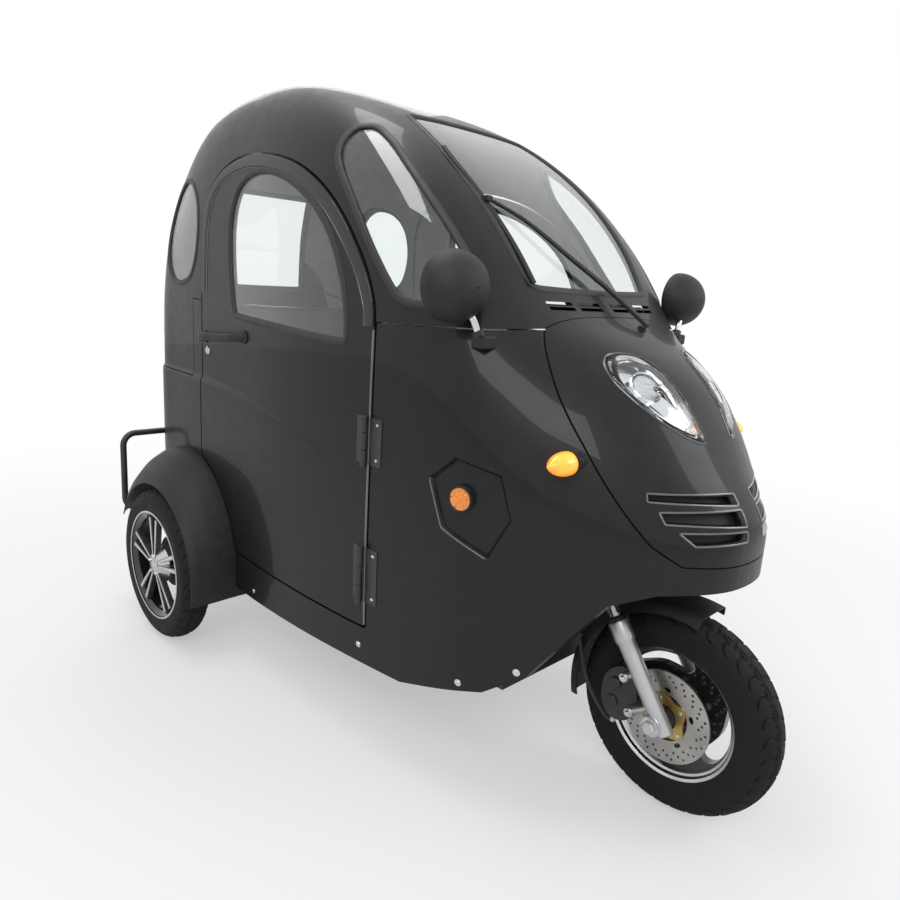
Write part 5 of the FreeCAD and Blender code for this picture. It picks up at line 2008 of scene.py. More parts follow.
    @staticmethod
    def lens_profile() -> list[tuple[float, float]]:
        """Distance and radius of the lens: a short cylinder, steps, and a blunt point."""
        points = [(0.2925, 0.0195), (0.2945, 0.0212), (0.2990, 0.0214)]
        for k in range(12):
            share = k / 12.0
            step = 0.0005 * (k % 2)
            points.append((0.300 + 0.049 * share, 0.0213 * (1.0 - share ** 2.4) + step))
        return points + [(0.3495, 0.0008)]

    def make_reflector(self, side: Side) -> None:
        """A round reflector: a black rim, and six wedges that rise to ribs."""
        sign, word = side.value, side.word
        spot = BODY.side(np.array([self.reflector]), float(sign))
        way = BODY.normal(spot)[0]
        turn = turn_to(way)
        place = spot[0] - way * 0.002
        wall = [(0.0004, -0.0002), (-0.0060, -0.0066), (-0.0060, -0.0074), (0.0004, -0.0074)]
        edge = BODY.side(spaced(line_of(HEXAGON, False), 0.004), float(sign))
        Glazing.seal(f"recess_wall_{word}", edge, wall, "chassis", PAINT)
        # Painted highlight: a lighter bead only along the rear and lower edges of the recess, where light
        # catches them; the other edges get none.
        corners = line_of(HEXAGON, False)[[0, 5, 4]]
        share = np.linspace(0.04, 0.96, 40)
        run = np.vstack([corners[0] + (corners[1] - corners[0]) * share[:, None],
                         corners[1] + (corners[2] - corners[1]) * share[:, None]])
        path = BODY.side(run, float(sign), -0.0002)
        bead(f"recess_edge_{word}", path, (0.0014, 0.0011, 0.0005, 0.0010), "chassis")
        rim = turned([(-0.006, 0.0205), (-0.006, 0.0240), (0.0060, 0.0240), (0.0072, 0.0228),
                      (0.0060, 0.0205)], 64)
        hides = ("side_reflectors",) if side is Side.RIGHT else ()
        put(f"reflector_rim_{word}", rim.moved(turn, place).outward(), "chassis", MATTE_BLACK,
            hides)
        angle = np.linspace(0.0, TAU, 96, endpoint=False)[:, None]
        radius = np.linspace(0.0004, 0.0207, 14)[None, :]
        wedge = np.abs((angle * 6.0 / TAU) % 1.0 - 0.5) * 2.0
        height = 0.0052 - 0.0022 * wedge ** 6 * (radius / 0.02) + 0.0006 * np.cos(radius * 2400.0)
        top = np.stack([height + 0.0 * radius, radius * np.cos(angle), radius * np.sin(angle)], axis=-1)
        under = np.stack([-0.004 + 0.0 * height, radius * np.cos(angle), radius * np.sin(angle)], axis=-1)
        face = grid(np.concatenate([top, under[:, ::-1]], axis=1), loop_rows=True, loop_columns=True)
        put(f"reflector_face_{word}", face.moved(turn, place).outward(), "chassis", AMBER,
            angle=25.0)


# Doors: band, bead, hinges, handle and latch


@dataclass
class DoorTrim:
    """What sits on one door and on its posts."""

    side: Side
    band: float = 0.026
    hinge: tuple[float, float] = (-0.397, -0.180)

    def build(self) -> None:
        """Band along the arch, bead along the edge, handle, lock, hinges, inner latch."""
        self.make_band()
        self.make_handle()
        self.make_hinges()
        self.make_latch()

    def make_band(self) -> None:
        """A dark strip along the arch inside the door's edge, its bead, and a bead down the front edge; both
        beads are in a lighter paint, a painted highlight.
        """
        sign, word = self.side.value, self.side.word
        line = spaced(drawn(line_of(DOOR), -0.0062), 0.006)
        start = int(np.argmin(np.abs(line - (0.541, 0.930)).sum(axis=1)))
        line = np.roll(line, -start, axis=0)
        end = int(np.argmin(np.abs(line - (-0.186, 0.905)).sum(axis=1)))
        if end < len(line) // 2:
            arch = line[:end + 1]
        else:
            arch = line[end:][::-1]
        inner = np.gradient(arch, axis=0)
        inner = np.stack([-inner[:, 1], inner[:, 0]], axis=1)
        inner /= np.linalg.norm(inner, axis=1, keepdims=True)
        middle = np.array((0.18, 0.95))
        inner *= np.sign(np.sum(inner * (middle - arch), axis=1, keepdims=True))
        rows = []
        for share, lift in ((0.00, 0.0005), (0.02, 0.0022), (0.06, 0.0030), (0.90, 0.0030), (0.97, 0.0024),
                            (1.00, 0.0005), (1.00, -0.0012), (0.00, -0.0012)):
            rows.append(BODY.side(arch + inner * self.band * share, sign, lift))
        form = grid(np.array(rows).swapaxes(0, 1), loop_columns=True, capped=True).outward()
        put(f"door_band_{word}", form, f"door_{word}", TRIM_PAINT, angle=30.0)
        # painted highlight: the band's edge bead is lighter paint standing for a highlight line
        edge = arch + inner * (self.band + 0.0012)
        path = BODY.side(edge, sign, 0.0006)
        bead(f"door_band_edge_{word}", path, (0.0011, 0.0010, 0.0006, 0.0013), f"door_{word}")
        # painted highlight: a lighter bead down the door's front edge standing for its bright line
        lower = np.stack([np.full(90, -0.1845), np.linspace(0.900, 0.296, 90)], axis=1)
        path = BODY.side(lower, sign, 0.0004)
        bead(f"door_bead_{word}", path, (0.0024, 0.0019, 0.0016, 0.0024), f"door_{word}")

    def make_handle(self) -> None:
        """A bent pull handle on two feet, and a lock barrel behind it."""
        sign, word = self.side.value, self.side.word
        flank = float(abs(BODY.side(np.array([(0.41, 0.826)]), -1.0)[0][0]))
        path = smooth_path([(flank - 0.006, 0.520, 0.822), (flank + 0.012, 0.514, 0.823),
                            (flank + 0.024, 0.490, 0.826), (flank + 0.027, 0.420, 0.831),
                            (flank + 0.026, 0.345, 0.836), (flank + 0.020, 0.315, 0.839),
                            (flank + 0.006, 0.300, 0.841), (flank - 0.006, 0.298, 0.841)], 0.004)
        path = path * (sign, 1.0, 1.0)
        out = BODY.normal(path)
        angle = np.linspace(0.0, TAU, 20, endpoint=False)
        oval = np.stack([0.0105 * np.cos(angle), 0.0062 * np.sin(angle)], axis=1)
        bar = carried(path, np.tile((sign, 0.0, 0.0), (len(path), 1)) + 0.2 * out, oval,
                      closed=False).outward()
        feet = []
        for y, z in ((0.520, 0.822), (0.299, 0.841)):
            spot = BODY.side(np.array([(y, z)]), -1.0)[0] * (-sign, 1.0, 1.0)
            feet.append(rod(spot - (sign * 0.004, 0.0, 0.0), spot + (sign * 0.0045, 0.0, 0.0), 0.0155, 32))
        hides = (f"door_{word}_fittings",)
        put(f"door_handle_{word}", bar.joined(*feet), f"door_{word}", MATTE_BLACK, hides)
        spot = BODY.side(np.array([(0.505, 0.788)]), -1.0)[0] * (-sign, 1.0, 1.0)
        barrel = turned([(-0.004, 0.0105), (0.0030, 0.0105), (0.0042, 0.0095), (0.0042, 0.0072),
                         (0.0030, 0.0068), (0.0030, 0.0012)], 40, axis_end=True)
        if self.side is Side.RIGHT:
            barrel = barrel.mirrored()
        put(f"door_lock_{word}", barrel.at(spot), f"door_{word}", STANCHION)

    def make_hinges(self) -> None:
        """Two hinges: knuckles on the pin's line, a leaf on the post and a leaf on the door, with screws."""
        sign, word = self.side.value, self.side.word
        x, y = sign * abs(self.hinge[0]), self.hinge[1]
        fixed, moving, screws = [], [], []
        for low, high in ((0.634, 0.736), (0.344, 0.469)):
            third = (high - low) / 3.0
            fixed.append(rod((x, y, low), (x, y, low + third - 0.0005), 0.0068))
            fixed.append(rod((x, y, high - third + 0.0005), (x, y, high), 0.0068))
            moving.append(rod((x, y, low + third + 0.0005), (x, y, high - third - 0.0005), 0.0068))
            for z in (low + 0.016, high - 0.016):
                spot = BODY.side(np.array([(y - 0.028, z)]), -1.0)[0] * (-sign, 1.0, 1.0)
                screws.append(bolt(spot + (sign * 0.0008, 0.0, 0.0), (sign, 0.0, 0.0), 0.0032, 0.0022, 20))
            for group, start, end in ((fixed, -0.004, -0.040), (moving, 0.004, 0.030)):
                steps = np.linspace(y + start, y + end, 6)
                rows = []
                for step in steps:
                    corners = np.array([(step, low + 0.004), (step, high - 0.004)])
                    over, under = BODY.side(corners, -1.0, 0.0016), BODY.side(corners, -1.0, -0.0008)
                    rows.append(np.vstack([over, under[::-1]]) * (-sign, 1.0, 1.0))
                group.append(grid(np.array(rows), loop_columns=True, capped=True).outward())
        hides = ("hinge_leaves",) if self.side is Side.RIGHT else ()
        put(f"hinge_post_{word}", as_one(fixed), "chassis", FRAME_PAINT, hides)
        put(f"hinge_door_{word}", as_one(moving), f"door_{word}", FRAME_PAINT)
        put(f"hinge_screws_{word}", as_one(screws), "chassis", STANCHION)

    def make_latch(self) -> None:
        """The silver pull of the latch on the inside of the door."""
        sign, word = self.side.value, self.side.word
        path = smooth_path([(0.384, 0.300, 0.772), (0.372, 0.300, 0.770), (0.368, 0.270, 0.768),
                            (0.368, 0.210, 0.766), (0.372, 0.180, 0.765), (0.384, 0.180, 0.765)],
                           0.004) * (sign, 1.0, 1.0)
        dress(new_object(f"door_pull_{word}", tube(path, 0.006)), f"door_{word}", STANCHION)


# Mirrors, wiper, fenders, bumper and tail lamps


@dataclass
class Outside:
    """Small parts fixed outside the shell."""

    mirror: tuple[float, float, float] = (0.380, -0.380, 0.990)
    wiper_foot: tuple[float, float, float] = (0.048, -0.486, 0.915)

    def build(self) -> None:
        """All of them."""
        for side in Side:
            self.make_mirror(side)
            self.make_fender(side)
            self.make_tail_lamp(side)
        self.make_wiper()
        self.make_bumper()
        self.make_bolts()

    def make_mirror(self, side: Side) -> None:
        """A rounded shell open to the rear with a glass in it, on a bent bar with a clamp at the body."""
        sign, word = side.value, side.word
        x, y, z = self.mirror
        reach = np.array([0.069, 0.062, 0.062])
        turns = np.linspace(0.02, math.pi / 2 - 0.03, 26)
        outer = [(0.004, 0.0605), (0.003, 0.0618)] + [(-0.062 * math.sin(a), 0.062 * math.cos(a))
                                                      for a in turns]
        inner = [(-0.012, 0.0012), (-0.012, 0.0540), (-0.002, 0.0560), (0.004, 0.0575)]
        shell = turned(outer + inner, 96)
        turn = np.array([(0.0, -1.0, 0.0), (1.0, 0.0, 0.0), (0.0, 0.0, 1.0)])
        stretch = np.array([reach[0] / 0.062, 1.0, 1.0])
        place = np.array((sign * x, y, z))
        moved = shell.moved(turn, (0.0, 0.0, 0.0))
        hides = ("mirrors",) if side is Side.RIGHT else ()
        item = new_object(f"mirror_shell_{word}", Form(moved.points * stretch + place, moved.faces).outward())
        dress(sharpened(item, 40.0), "chassis", MATTE_BLACK, hides)
        disc = turned([(-0.010, 0.0535), (-0.0075, 0.0535), (-0.0070, 0.0525), (-0.0070, 0.0008),
                       (-0.010, 0.0008)], 80)
        moved = disc.moved(turn, (0.0, 0.0, 0.0))
        item = new_object(f"mirror_glass_{word}", Form(moved.points * stretch + place, moved.faces).outward())
        dress(sharpened(item), "chassis", MIRROR)
        stem = smooth_path([(0.366, -0.404, 0.955), (0.350, -0.408, 0.935), (0.340, -0.410, 0.915),
                            (0.331, -0.414, 0.893)], 0.003) * (sign, 1.0, 1.0)
        dress(new_object(f"mirror_stem_{word}", tube(stem, 0.0062)), "chassis", STANCHION)
        near, far = sorted((sign * 0.312, sign * 0.346))
        foot = new_object(f"mirror_foot_{word}", block((near, -0.432, 0.888), (far, -0.400, 0.911)))
        dress(bevelled(foot, 0.004, 3), "chassis", MATTE_BLACK)
        collar = rod(np.array((0.333, -0.4135, 0.900)) * (sign, 1, 1),
                     np.array((0.341, -0.4095, 0.918)) * (sign, 1, 1), 0.0105)
        put(f"mirror_collar_{word}", collar, "chassis", RUBBER)

    def make_wiper(self) -> None:
        """Pivot cap, tapered arm, hook, blade frame and the rubber lip of the blade."""
        blade = np.array([(-201, -150, 1255), (-207, -183, 1230), (-204, -233, 1187), (-197, -278, 1142),
                          (-193, -323, 1095), (-192, -365, 1048), (-191, -400, 1003)]) * MM
        arm = (np.array([(48, -500, 930), (11, -412, 1004), (-72, -368, 1062), (-140, -315, 1118),
                         (-197, -268, 1152)]) + (0.0, -5.5, 5.5)) * MM
        path = smooth_path(blade, 0.003)
        normals = BODY.normal(path)
        back = carried(path, normals, [(-0.0052, 0.0020), (-0.0052, 0.0046), (-0.0030, 0.0064),
                                       (0.0030, 0.0064), (0.0052, 0.0046), (0.0052, 0.0020)], closed=False)
        lip = carried(path, normals, [(-0.0024, 0.0020), (-0.0010, -0.0044), (0.0010, -0.0044),
                                      (0.0024, 0.0020)], closed=False)
        put("wiper_blade", back.outward(), "chassis", MATTE_BLACK, ("wiper",))
        put("wiper_lip", lip.outward(), "chassis", RUBBER)
        line = smooth_path(arm, 0.004)
        share = np.linspace(1.0, 0.0, len(line))[:, None]
        normals = BODY.normal(line)
        side = np.cross(np.gradient(line, axis=0), normals)
        side /= np.linalg.norm(side, axis=1, keepdims=True)
        ring = np.array([(-1.0, -1.0), (-1.0, 0.6), (-0.6, 1.0), (0.6, 1.0), (1.0, 0.6), (1.0, -1.0)])
        wide, tall = 0.0034 + 0.0036 * share, 0.0024 + 0.0014 * share
        points = line[:, None] + side[:, None] * (ring[None, :, :1] * wide[:, None]) \
            + normals[:, None] * (ring[None, :, 1:] * tall[:, None])
        put("wiper_arm", grid(points, loop_columns=True, capped=True).outward(), "chassis", MATTE_BLACK)
        way = np.array((0.0, -0.447, 0.894))
        foot = np.array(self.wiper_foot)
        cap = [rod(foot - way * 0.010, foot + way * 0.016, 0.0118, 32),
               rod(foot + way * 0.016, foot + way * 0.021, 0.008, 6)]
        put("wiper_pivot", cap[0].joined(cap[1]), "chassis", MATTE_BLACK)
        middle = line[-1]
        bridge = block(middle - (0.008, 0.010, 0.007), middle + (0.008, 0.010, 0.004))
        dress(bevelled(new_object("wiper_clip", bridge), 0.002), "chassis", MATTE_BLACK)

    @staticmethod
    def make_fender(side: Side) -> None:
        """An arched guard: rings of growing turn carried outwards, with a rolled lip and a flap in front."""
        sign, word = side.value, side.word
        knots = np.array([(300, 622, 236, 270), (392, 622, 236, 270), (440, 610, 228, 258),
                          (485, 592, 214, 237), (500, 580, 207, 222)], float) * MM
        level = np.linspace(0.0, 1.0, 40)
        at = np.linspace(0.0, 1.0, len(knots))
        rings = np.stack([np.interp(level, at, knots[:, k]) for k in range(4)], axis=1)
        soft = np.ones(5) / 5.0
        for k in range(4):
            wide = np.pad(rings[:, k], 2, mode="edge")
            rings[:, k] = np.convolve(wide, soft, mode="valid")
        angle = np.radians(np.linspace(-24.0, 197.0, 110))[None, :]

        def sheet(less: float) -> Array:
            """One face of the guard."""
            x, y, z, r = (rings[:, k][:, None] for k in range(4))
            return np.stack([x + 0.0 * angle, y - (r - less) * np.cos(angle), z + (r - less) * np.sin(angle)],
                            axis=-1)

        outer, inner = sheet(0.0), sheet(0.005)
        tip = outer[-1:] * 0.5 + inner[-1:] * 0.5 + (0.0022, 0.0, 0.0)
        lip_out = outer[-1:] + (0.0010, 0.0, 0.0)
        lip_in = inner[-1:] + (0.0006, 0.0, 0.0)
        loop = np.concatenate([outer, lip_out, tip, lip_in, inner[::-1]], axis=0).swapaxes(0, 1)
        form = grid(loop, loop_columns=True, capped=True).outward()
        if side is Side.RIGHT:
            form = form.mirrored()
        item = new_object(f"fender_{word}", form)
        low = [(0.0, 0.0), (1.4, 0.0), (1.4, 0.300), (1.200, 0.300), (0.740, 0.290), (0.560, 0.155),
               (0.0, 0.155)]
        cut(item, prism(np.array(low), [(-0.7, 0.7)]))
        hides = ("rear_fenders",) if side is Side.RIGHT else ()
        dress(sharpened(item, 40.0), "chassis", MATTE_BLACK, hides)
        pins = []
        for degrees in (8, 172):
            a = math.radians(degrees)
            way = np.array((0.0, -math.cos(a), math.sin(a)))
            spot = np.array((sign * 0.340, 0.622 - 0.270 * math.cos(a), 0.236 + 0.270 * math.sin(a)))
            pins.append(bolt(spot + (0.0, -0.0003 * math.cos(a), 0.0), way, 0.0052, 0.0035))
        put(f"fender_bolts_{word}", as_one(pins), "chassis", STANCHION)

    @staticmethod
    def make_tail_lamp(side: Side) -> None:
        """A rounded lens with ribs, in a black rim."""
        sign, word = side.value, side.word
        outline = spaced(rounded(np.array([(0.1885, 0.598), (0.2515, 0.598), (0.2515, 0.722),
                                           (0.1885, 0.722)]), 3), 0.004)
        outline = outline * (sign, 1.0)
        middle = outline.mean(axis=0)
        hides = ("tail_lamps",) if side is Side.RIGHT else ()
        rows, front = [], BODY.front(outline * (0.98, 1.0), rear=True)
        depth = max(front[:, 1].max() + 0.002, 0.890)
        for share, y in ((1.0, depth - 0.025), (1.0, depth - 0.003), (0.97, depth), (0.90, depth),
                         (0.87, depth - 0.003), (0.87, depth - 0.025)):
            ring = middle + (outline - middle) * share
            rows.append(np.insert(ring, 1, y, axis=1))
        rim = grid(np.array(rows), loop_rows=True, loop_columns=True).outward()
        put(f"tail_rim_{word}", rim, "chassis", MATTE_BLACK, hides)
        rows = []
        for share, y in ((0.86, depth - 0.025), (0.86, depth - 0.002), (0.82, depth + 0.0012),
                         (0.6, depth + 0.0024), (0.3, depth + 0.0030), (0.02, depth + 0.0032)):
            ring = middle + (outline - middle) * share
            rows.append(np.insert(ring, 1, y, axis=1))
        lens = grid(np.array(rows), loop_columns=True, capped=True).outward()
        put(f"tail_lens_{word}", lens, "chassis", RED_LENS)

    @staticmethod
    def make_bumper() -> None:
        """The bent tube behind the fenders with its clamps."""
        corners = np.array([(300, 800, 500), (300, 897, 500), (452, 897, 500), (452, 897, 268)], float) * MM
        half = [corners[0]]
        for k in (1, 2):
            into, out = corners[k - 1] - corners[k], corners[k + 1] - corners[k]
            into, out = into / np.linalg.norm(into), out / np.linalg.norm(out)
            centre = corners[k] + (into + out) * 0.036
            for a in np.linspace(0.0, math.pi / 2.0, 10):
                half.append(centre - out * 0.036 * math.cos(a) - into * 0.036 * math.sin(a))
        down = corners[2] + np.array((0.0, 0.0, -1.0)) * 0.196
        half.append(down)
        for a in np.linspace(0.1, math.pi / 2.0, 9):
            half.append(np.array((0.416 + 0.036 * math.cos(a), 0.897, 0.304 - 0.036 * math.sin(a))))
        half = np.array(half)
        whole = np.vstack([half, np.flip(half, axis=0) * (-1.0, 1.0, 1.0)])
        keep = np.concatenate([[True], np.linalg.norm(np.diff(whole, axis=0), axis=1) > 1e-5])
        dress(new_object("bumper_tube", tube(whole[keep], 0.009, 20)), "chassis", FRAME_PAINT,
              ("rear_bumper",))
        clamps = []
        for sign in (-1.0, 1.0):
            clamps.append(rod((sign * 0.300, 0.806, 0.5), (sign * 0.300, 0.822, 0.5), 0.0135))
            clamps.append(bolt((sign * 0.300, 0.814, 0.5125), (0.0, 0.0, 1.0), 0.0045, 0.004))
        put("bumper_clamps", as_one(clamps), "chassis", STANCHION)

    @staticmethod
    def make_bolts() -> None:
        """Round-headed bolts along the lower edge and the fender flap."""
        for side in Side:
            heads = []
            for y, z in ((0.257, 0.212), (-0.167, 0.243), (-0.433, 0.266), (-0.540, 0.322)):
                spot = BODY.side(np.array([(y, z)]), float(side.value))
                heads.append(bolt(spot[0], BODY.normal(spot)[0], 0.0048, 0.0028, 24))
            put(f"sill_bolts_{side.word}", as_one(heads), "chassis", STANCHION)


# Inside


@dataclass
class Inside:
    """Cushions, controls, floor and what shows through the glass."""

    seat: tuple[Points, Points] = ((-0.238, 0.107, 0.561), (0.238, 0.543, 0.648))
    back: tuple[Points, Points] = ((-0.228, 0.002, 0.004), (0.228, 0.073, 0.398))
    back_place: tuple[float, float, float] = (0.0, 0.546, 0.560)
    lean: float = -9.0
    voxel: float = 0.009
    pressure: float = 4.0
    stiffness: float = 25.0
    frames: int = 20
    rise: float = 0.012
    fill: float = 0.9

    def build(self) -> None:
        """All of it."""
        self.make_cushion("seat_pad", *self.seat, None, "seat_cushion", 2)
        turn = Matrix.Translation(self.back_place) @ Matrix.Rotation(math.radians(self.lean), 4, "X")
        self.make_cushion("back_pad", *self.back, turn, "seat_back", 1)
        self.make_controls()
        self.make_floor()

    def make_cushion(self, name: str, low: Points, high: Points, turn: Optional[Matrix], node: str,
                     axis: int) -> None:
        """A stuffed cover: a box blown up by a cloth solve, with sewn channels and a cord round its edge.

        Args:
            name: name of the piece; the cord takes it with a word added.
            low: lowest corner of the space that the cushion fills.
            high: highest corner of that space.
            turn: place and lean of the whole piece, or None where it is made in place.
            node: the frame's solid that it stands for.
            axis: direction across the padded face, 2 for a seat and 1 for a back.
        """
        low, high = np.asarray(low, float), np.asarray(high, float)
        size = high - low
        item = new_object(name, block(low + size * (0.03, 0.03, 0.03), high - size * (0.03, 0.03, 0.10)))
        applied(bevelled(item, 0.018, 3))
        remesh = item.modifiers.new("even", "REMESH")
        remesh.mode = "VOXEL"
        remesh.voxel_size = self.voxel
        applied(item)
        before = self.places(item)
        self.blow_up(item)
        move = self.places(item) - before
        far = np.linalg.norm(move, axis=1, keepdims=True)
        after = before + move * np.minimum(1.0, self.rise / np.maximum(far, 1e-9))
        after = self.sewn(np.clip(after, low, high), low, size, axis)
        item.data.vertices.foreach_set("co", after.ravel())
        smooth = item.modifiers.new("smooth", "SUBSURF")
        smooth.levels = smooth.render_levels = 1
        applied(item)
        piping = new_object(f"{name}_piping", self.piping(low, high, axis))
        if turn is not None:
            item.data.transform(turn)
            piping.data.transform(turn)
        dress(item, "chassis", SEAT_VINYL, (node,))
        dress(piping, "chassis", RUBBER)

    @staticmethod
    def places(item: bpy.types.Object) -> Array:
        """Where an object's vertices are, as rows of three."""
        flat = np.empty(len(item.data.vertices) * 3)
        item.data.vertices.foreach_get("co", flat)
        return flat.reshape(-1, 3)

    def blow_up(self, item: bpy.types.Object) -> None:
        """Runs the cloth solve with air pressure inside and no weight, and keeps its last frame."""
        cloth = item.modifiers.new("cloth", "CLOTH")
        cloth.settings.quality = 5
        cloth.settings.use_pressure = True
        cloth.settings.uniform_pressure_force = self.pressure
        cloth.settings.effector_weights.gravity = 0.0
        cloth.settings.tension_stiffness = self.stiffness
        cloth.settings.compression_stiffness = self.stiffness
        cloth.point_cache.frame_start = 1
        cloth.point_cache.frame_end = self.frames
        scene = bpy.context.scene
        for number in range(1, self.frames + 1):
            scene.frame_set(number)
        applied(item)
        scene.frame_set(1)

    @staticmethod
    def sewn(after: Array, low: Array, size: Array, axis: int) -> Array:
        """Three channels pressed into the padded face: depth times exp(-(distance from the seam / width)^2).

        Args:
            after: places of the cushion's points.
            low: lowest corner of its space.
            size: size of that space.
            axis: direction across the padded face.

        Returns:
            The pressed places.
        """
        across = 1 if axis == 0 else 0
        share = (after - low) / size
        seam = np.zeros(len(after))
        for level in (0.25, 0.5, 0.75):
            seam = np.maximum(seam, np.exp(-((share[:, across] - level) * size[across] / 0.004) ** 2))
        way = 1.0 if axis == 2 else -1.0
        padded = np.clip((share[:, axis] - 0.5) * way * 4.0, 0.0, 1.0)
        inwards = np.zeros(3)
        inwards[axis] = -way
        return after + inwards * (0.0045 * seam * padded)[:, None]

    @staticmethod
    def piping(low: Array, high: Array, axis: int) -> Form:
        """A round cord along the rounded edge of the padded face.

        Args:
            low: lowest corner of the cushion's space.
            high: highest corner.
            axis: direction across the padded face.

        Returns:
            The cord.
        """
        size = high - low
        a, b = (k for k in range(3) if k != axis)
        edge = 0.015
        level = high[axis] - 0.016 if axis == 2 else low[axis] + 0.014
        corner = np.array([(low[a] + edge, low[b] + edge), (high[a] - edge, low[b] + edge),
                           (high[a] - edge, high[b] - edge), (low[a] + edge, high[b] - edge)])
        flat = spaced(rounded(corner, 3), 0.006)
        middle = flat.mean(axis=0)
        wide, tall = (size[a] - 0.010) / (size[a] - 2.0 * edge), (size[b] - 0.010) / (size[b] - 2.0 * edge)
        ring = np.insert(middle + (flat - middle) * (wide, tall), axis, level, axis=1)
        angle = np.linspace(0.0, TAU, 10, endpoint=False)
        up = np.zeros(3)
        up[axis] = 1.0
        section = np.stack([np.cos(angle), np.sin(angle)], axis=1) * 0.0034
        return carried(ring, np.tile(up, (len(ring), 1)), section).outward()

    @staticmethod
    def make_controls() -> None:
        """The handlebar with ribbed grips, levers and a dial pod."""
        y, z = -0.2223, 0.8481
        bar = smooth_path([(-0.300, y + 0.030, z + 0.020), (-0.220, y + 0.014, z + 0.009), (-0.150, y, z),
                           (0.0, y, z), (0.150, y, z), (0.220, y + 0.014, z + 0.009),
                           (0.300, y + 0.030, z + 0.020)], 0.005)
        dress(new_object("bar_tube", tube(bar, 0.0105, 24)), "fork", FRAME_PAINT,
              ("handlebar",))
        for side in Side:
            sign, word = side.value, side.word
            start = np.array((sign * 0.190, y + 0.008, z + 0.0055))
            end = np.array((sign * 0.299, y + 0.030, z + 0.020))
            length = float(np.linalg.norm(end - start))
            profile = [(0.0, 0.0150), (0.004, 0.0160)]
            for k in range(16):
                at = 0.006 + (length - 0.012) * k / 16.0
                profile += [(at, 0.0132), (at + 0.0018, 0.0140), (at + 0.0040, 0.0140)]
            profile += [(length - 0.004, 0.0150), (length, 0.0130)]
            way = (end - start) / length
            form = turned(profile, 32, axis_end=True).moved(turn_to(way), start)
            put(f"grip_{word}", form.outward(), "fork", RUBBER, angle=25.0)
            lever = smooth_path([(sign * 0.165, y - 0.001, z + 0.008), (sign * 0.178, y - 0.008, z + 0.018),
                                 (sign * 0.215, y - 0.004, z + 0.024), (sign * 0.262, y + 0.008, z + 0.032)],
                                0.005)
            dress(new_object(f"lever_{word}", tube(lever, 0.0045)), "fork", STANCHION)
        pod = new_object("dial_pod", block((-0.068, y - 0.048, z - 0.018), (0.068, y + 0.018, z + 0.038)))
        dress(bevelled(pod, 0.012, 4), "fork", MATTE_BLACK)
        dial = rod((0.0, y - 0.012, z + 0.036), (0.0, y - 0.010, z + 0.044), 0.026, 48)
        put("dial_glass", dial, "fork", GLOSS_BLACK)
        knob = rod((0.045, y - 0.010, z + 0.036), (0.045, y - 0.009, z + 0.044), 0.008, 32)
        put("pod_switch", knob, "fork", RED_LENS)

    @staticmethod
    def make_floor() -> None:
        """A ribbed mat on the tread of the cabin floor."""
        mat_x = np.linspace(-0.262, 0.262, 132)
        mat_y = np.linspace(-0.390, 0.104, 4)
        height = 0.2678 + 0.0012 * (np.sin(mat_x / 0.262 * math.pi * 16.0) > 0.0)
        top = np.stack([np.broadcast_to(mat_x[:, None], (132, 4)), np.broadcast_to(mat_y, (132, 4)),
                        np.broadcast_to(height[:, None], (132, 4))], axis=-1)
        under = top.copy()
        under[..., 2] = 0.2662
        loop = np.concatenate([top, under[:, ::-1]], axis=1)
        put("floor_mat", grid(loop, loop_columns=True, capped=True).outward(), "chassis", FLOOR_MAT,
            angle=20.0)


# Every solid of the frame that stays as it was built


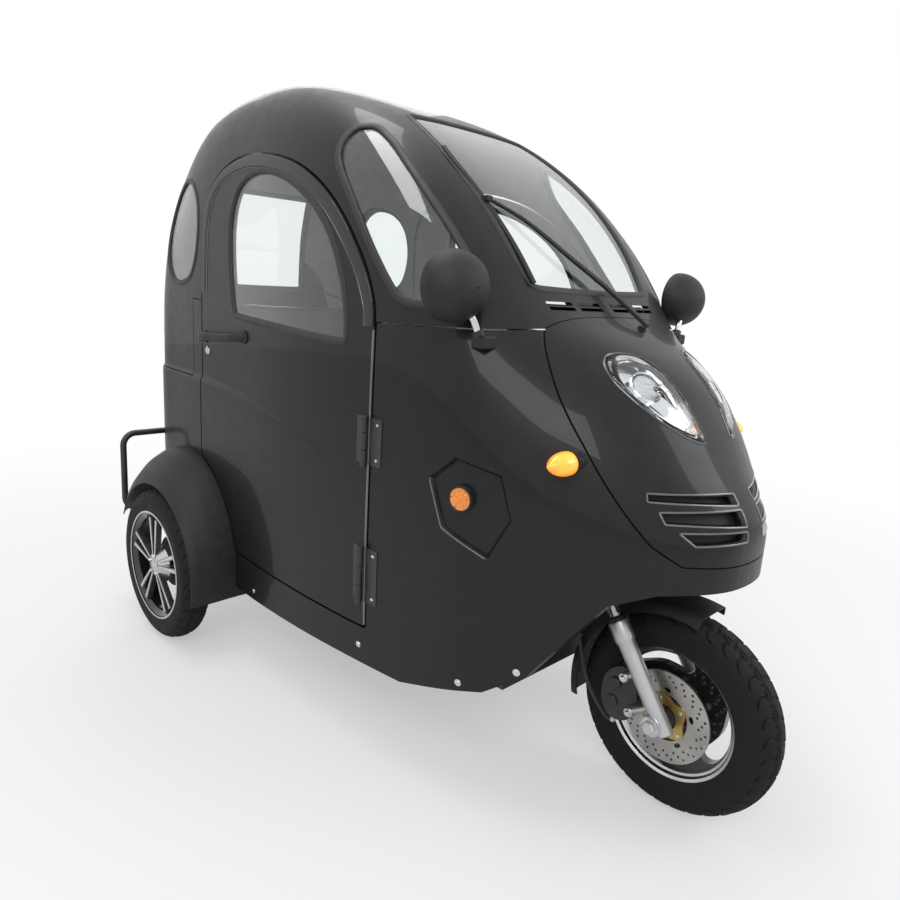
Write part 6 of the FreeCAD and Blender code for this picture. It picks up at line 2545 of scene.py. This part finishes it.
@dataclass
class Carried:
    """Finishes and small bevels for the solids that need no remodelling, and their own small parts."""

    plan: Sequence[tuple[str, Finish]] = (
        ("floor_pan", LINING), ("dashboard", LINING), ("seat_base", LINING), ("battery", MATTE_BLACK),
        ("frame", FRAME_PAINT), ("rear_axle", FRAME_PAINT), ("motor", MOTOR_CASE), ("dampers", FRAME_PAINT),
        ("fork_crown", FRAME_PAINT))
    edge: float = 0.0015

    def build(self) -> None:
        """Gives each node its finish and a bevel, then adds the springs and the motor's details."""
        for name, finish in self.plan:
            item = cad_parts[name]
            item.data.materials.clear()
            item.data.materials.append(finish.material())
            bevel = item.modifiers.new("edge", "BEVEL")
            bevel.width = self.edge
            bevel.segments = 2
            bevel.limit_method = "ANGLE"
            bevel.angle_limit = math.radians(40.0)
            LOG.info("%s keeps its solid with %s", name, finish.name)
        self.make_springs()
        self.make_motor_details()

    @staticmethod
    def make_springs() -> None:
        """A coil spring round each damper, from the damper's own box."""
        low, high = (np.array(corner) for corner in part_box("dampers"))
        coils = []
        turns, steps = 7.0, 160
        angle = np.linspace(0.0, TAU * turns, steps)
        for sign in (-1.0, 1.0):
            x = sign * (high[0] - low[0]) / 2.0 - sign * 0.024
            middle_y = (low[1] + high[1]) / 2.0
            length = (high[2] - low[2]) * 0.55
            start = low[2] + (high[2] - low[2]) * 0.22
            lean = (high[1] - low[1] - 0.048) / max(high[2] - low[2], 1e-6)
            z = start + length * angle / angle[-1]
            y = middle_y + lean * (z - (low[2] + high[2]) / 2.0)
            coils.append(tube(np.stack([x + 0.0278 * np.cos(angle), y + 0.0278 * np.sin(angle), z], axis=1),
                              0.0036, 8))
        dress(new_object("damper_springs", coils[0].joined(coils[1])), "chassis", RED_SPRING)

    @staticmethod
    def make_motor_details() -> None:
        """Cooling fins round the motor and its end cover's bolts."""
        fins = [turned([(x, 0.0585), (x, 0.0615), (x + 0.0025, 0.0615), (x + 0.0025, 0.0585)], 64)
                for x in np.linspace(-0.165, -0.035, 14)]
        place = (0.0, 0.452, 0.2266)
        form = as_one(fins)
        put("motor_fins", form.at(place), "chassis", MOTOR_CASE)
        heads = [bolt((-0.1903, 0.452 + 0.045 * math.cos(a), 0.2266 + 0.045 * math.sin(a)), (-1.0, 0.0, 0.0),
                      0.004, 0.003) for a in np.linspace(0.0, TAU, 6, endpoint=False)]
        put("motor_bolts", as_one(heads), "chassis", STANCHION)


def main() -> None:
    """Builds the looks piece by piece and reports each."""
    logging.basicConfig(level=logging.INFO, format="%(message)s")
    for maker in (Stage(), BodyPanels(), Glazing(), FrontWheel(), RearWheel(Side.RIGHT), RearWheel(Side.LEFT),
                  Fork(), Nose(), DoorTrim(Side.RIGHT), DoorTrim(Side.LEFT), Outside(), Inside(), Carried()):
        maker.build()
        LOG.info("%s is built", type(maker).__name__)


if __name__ == "__main__":
    main()
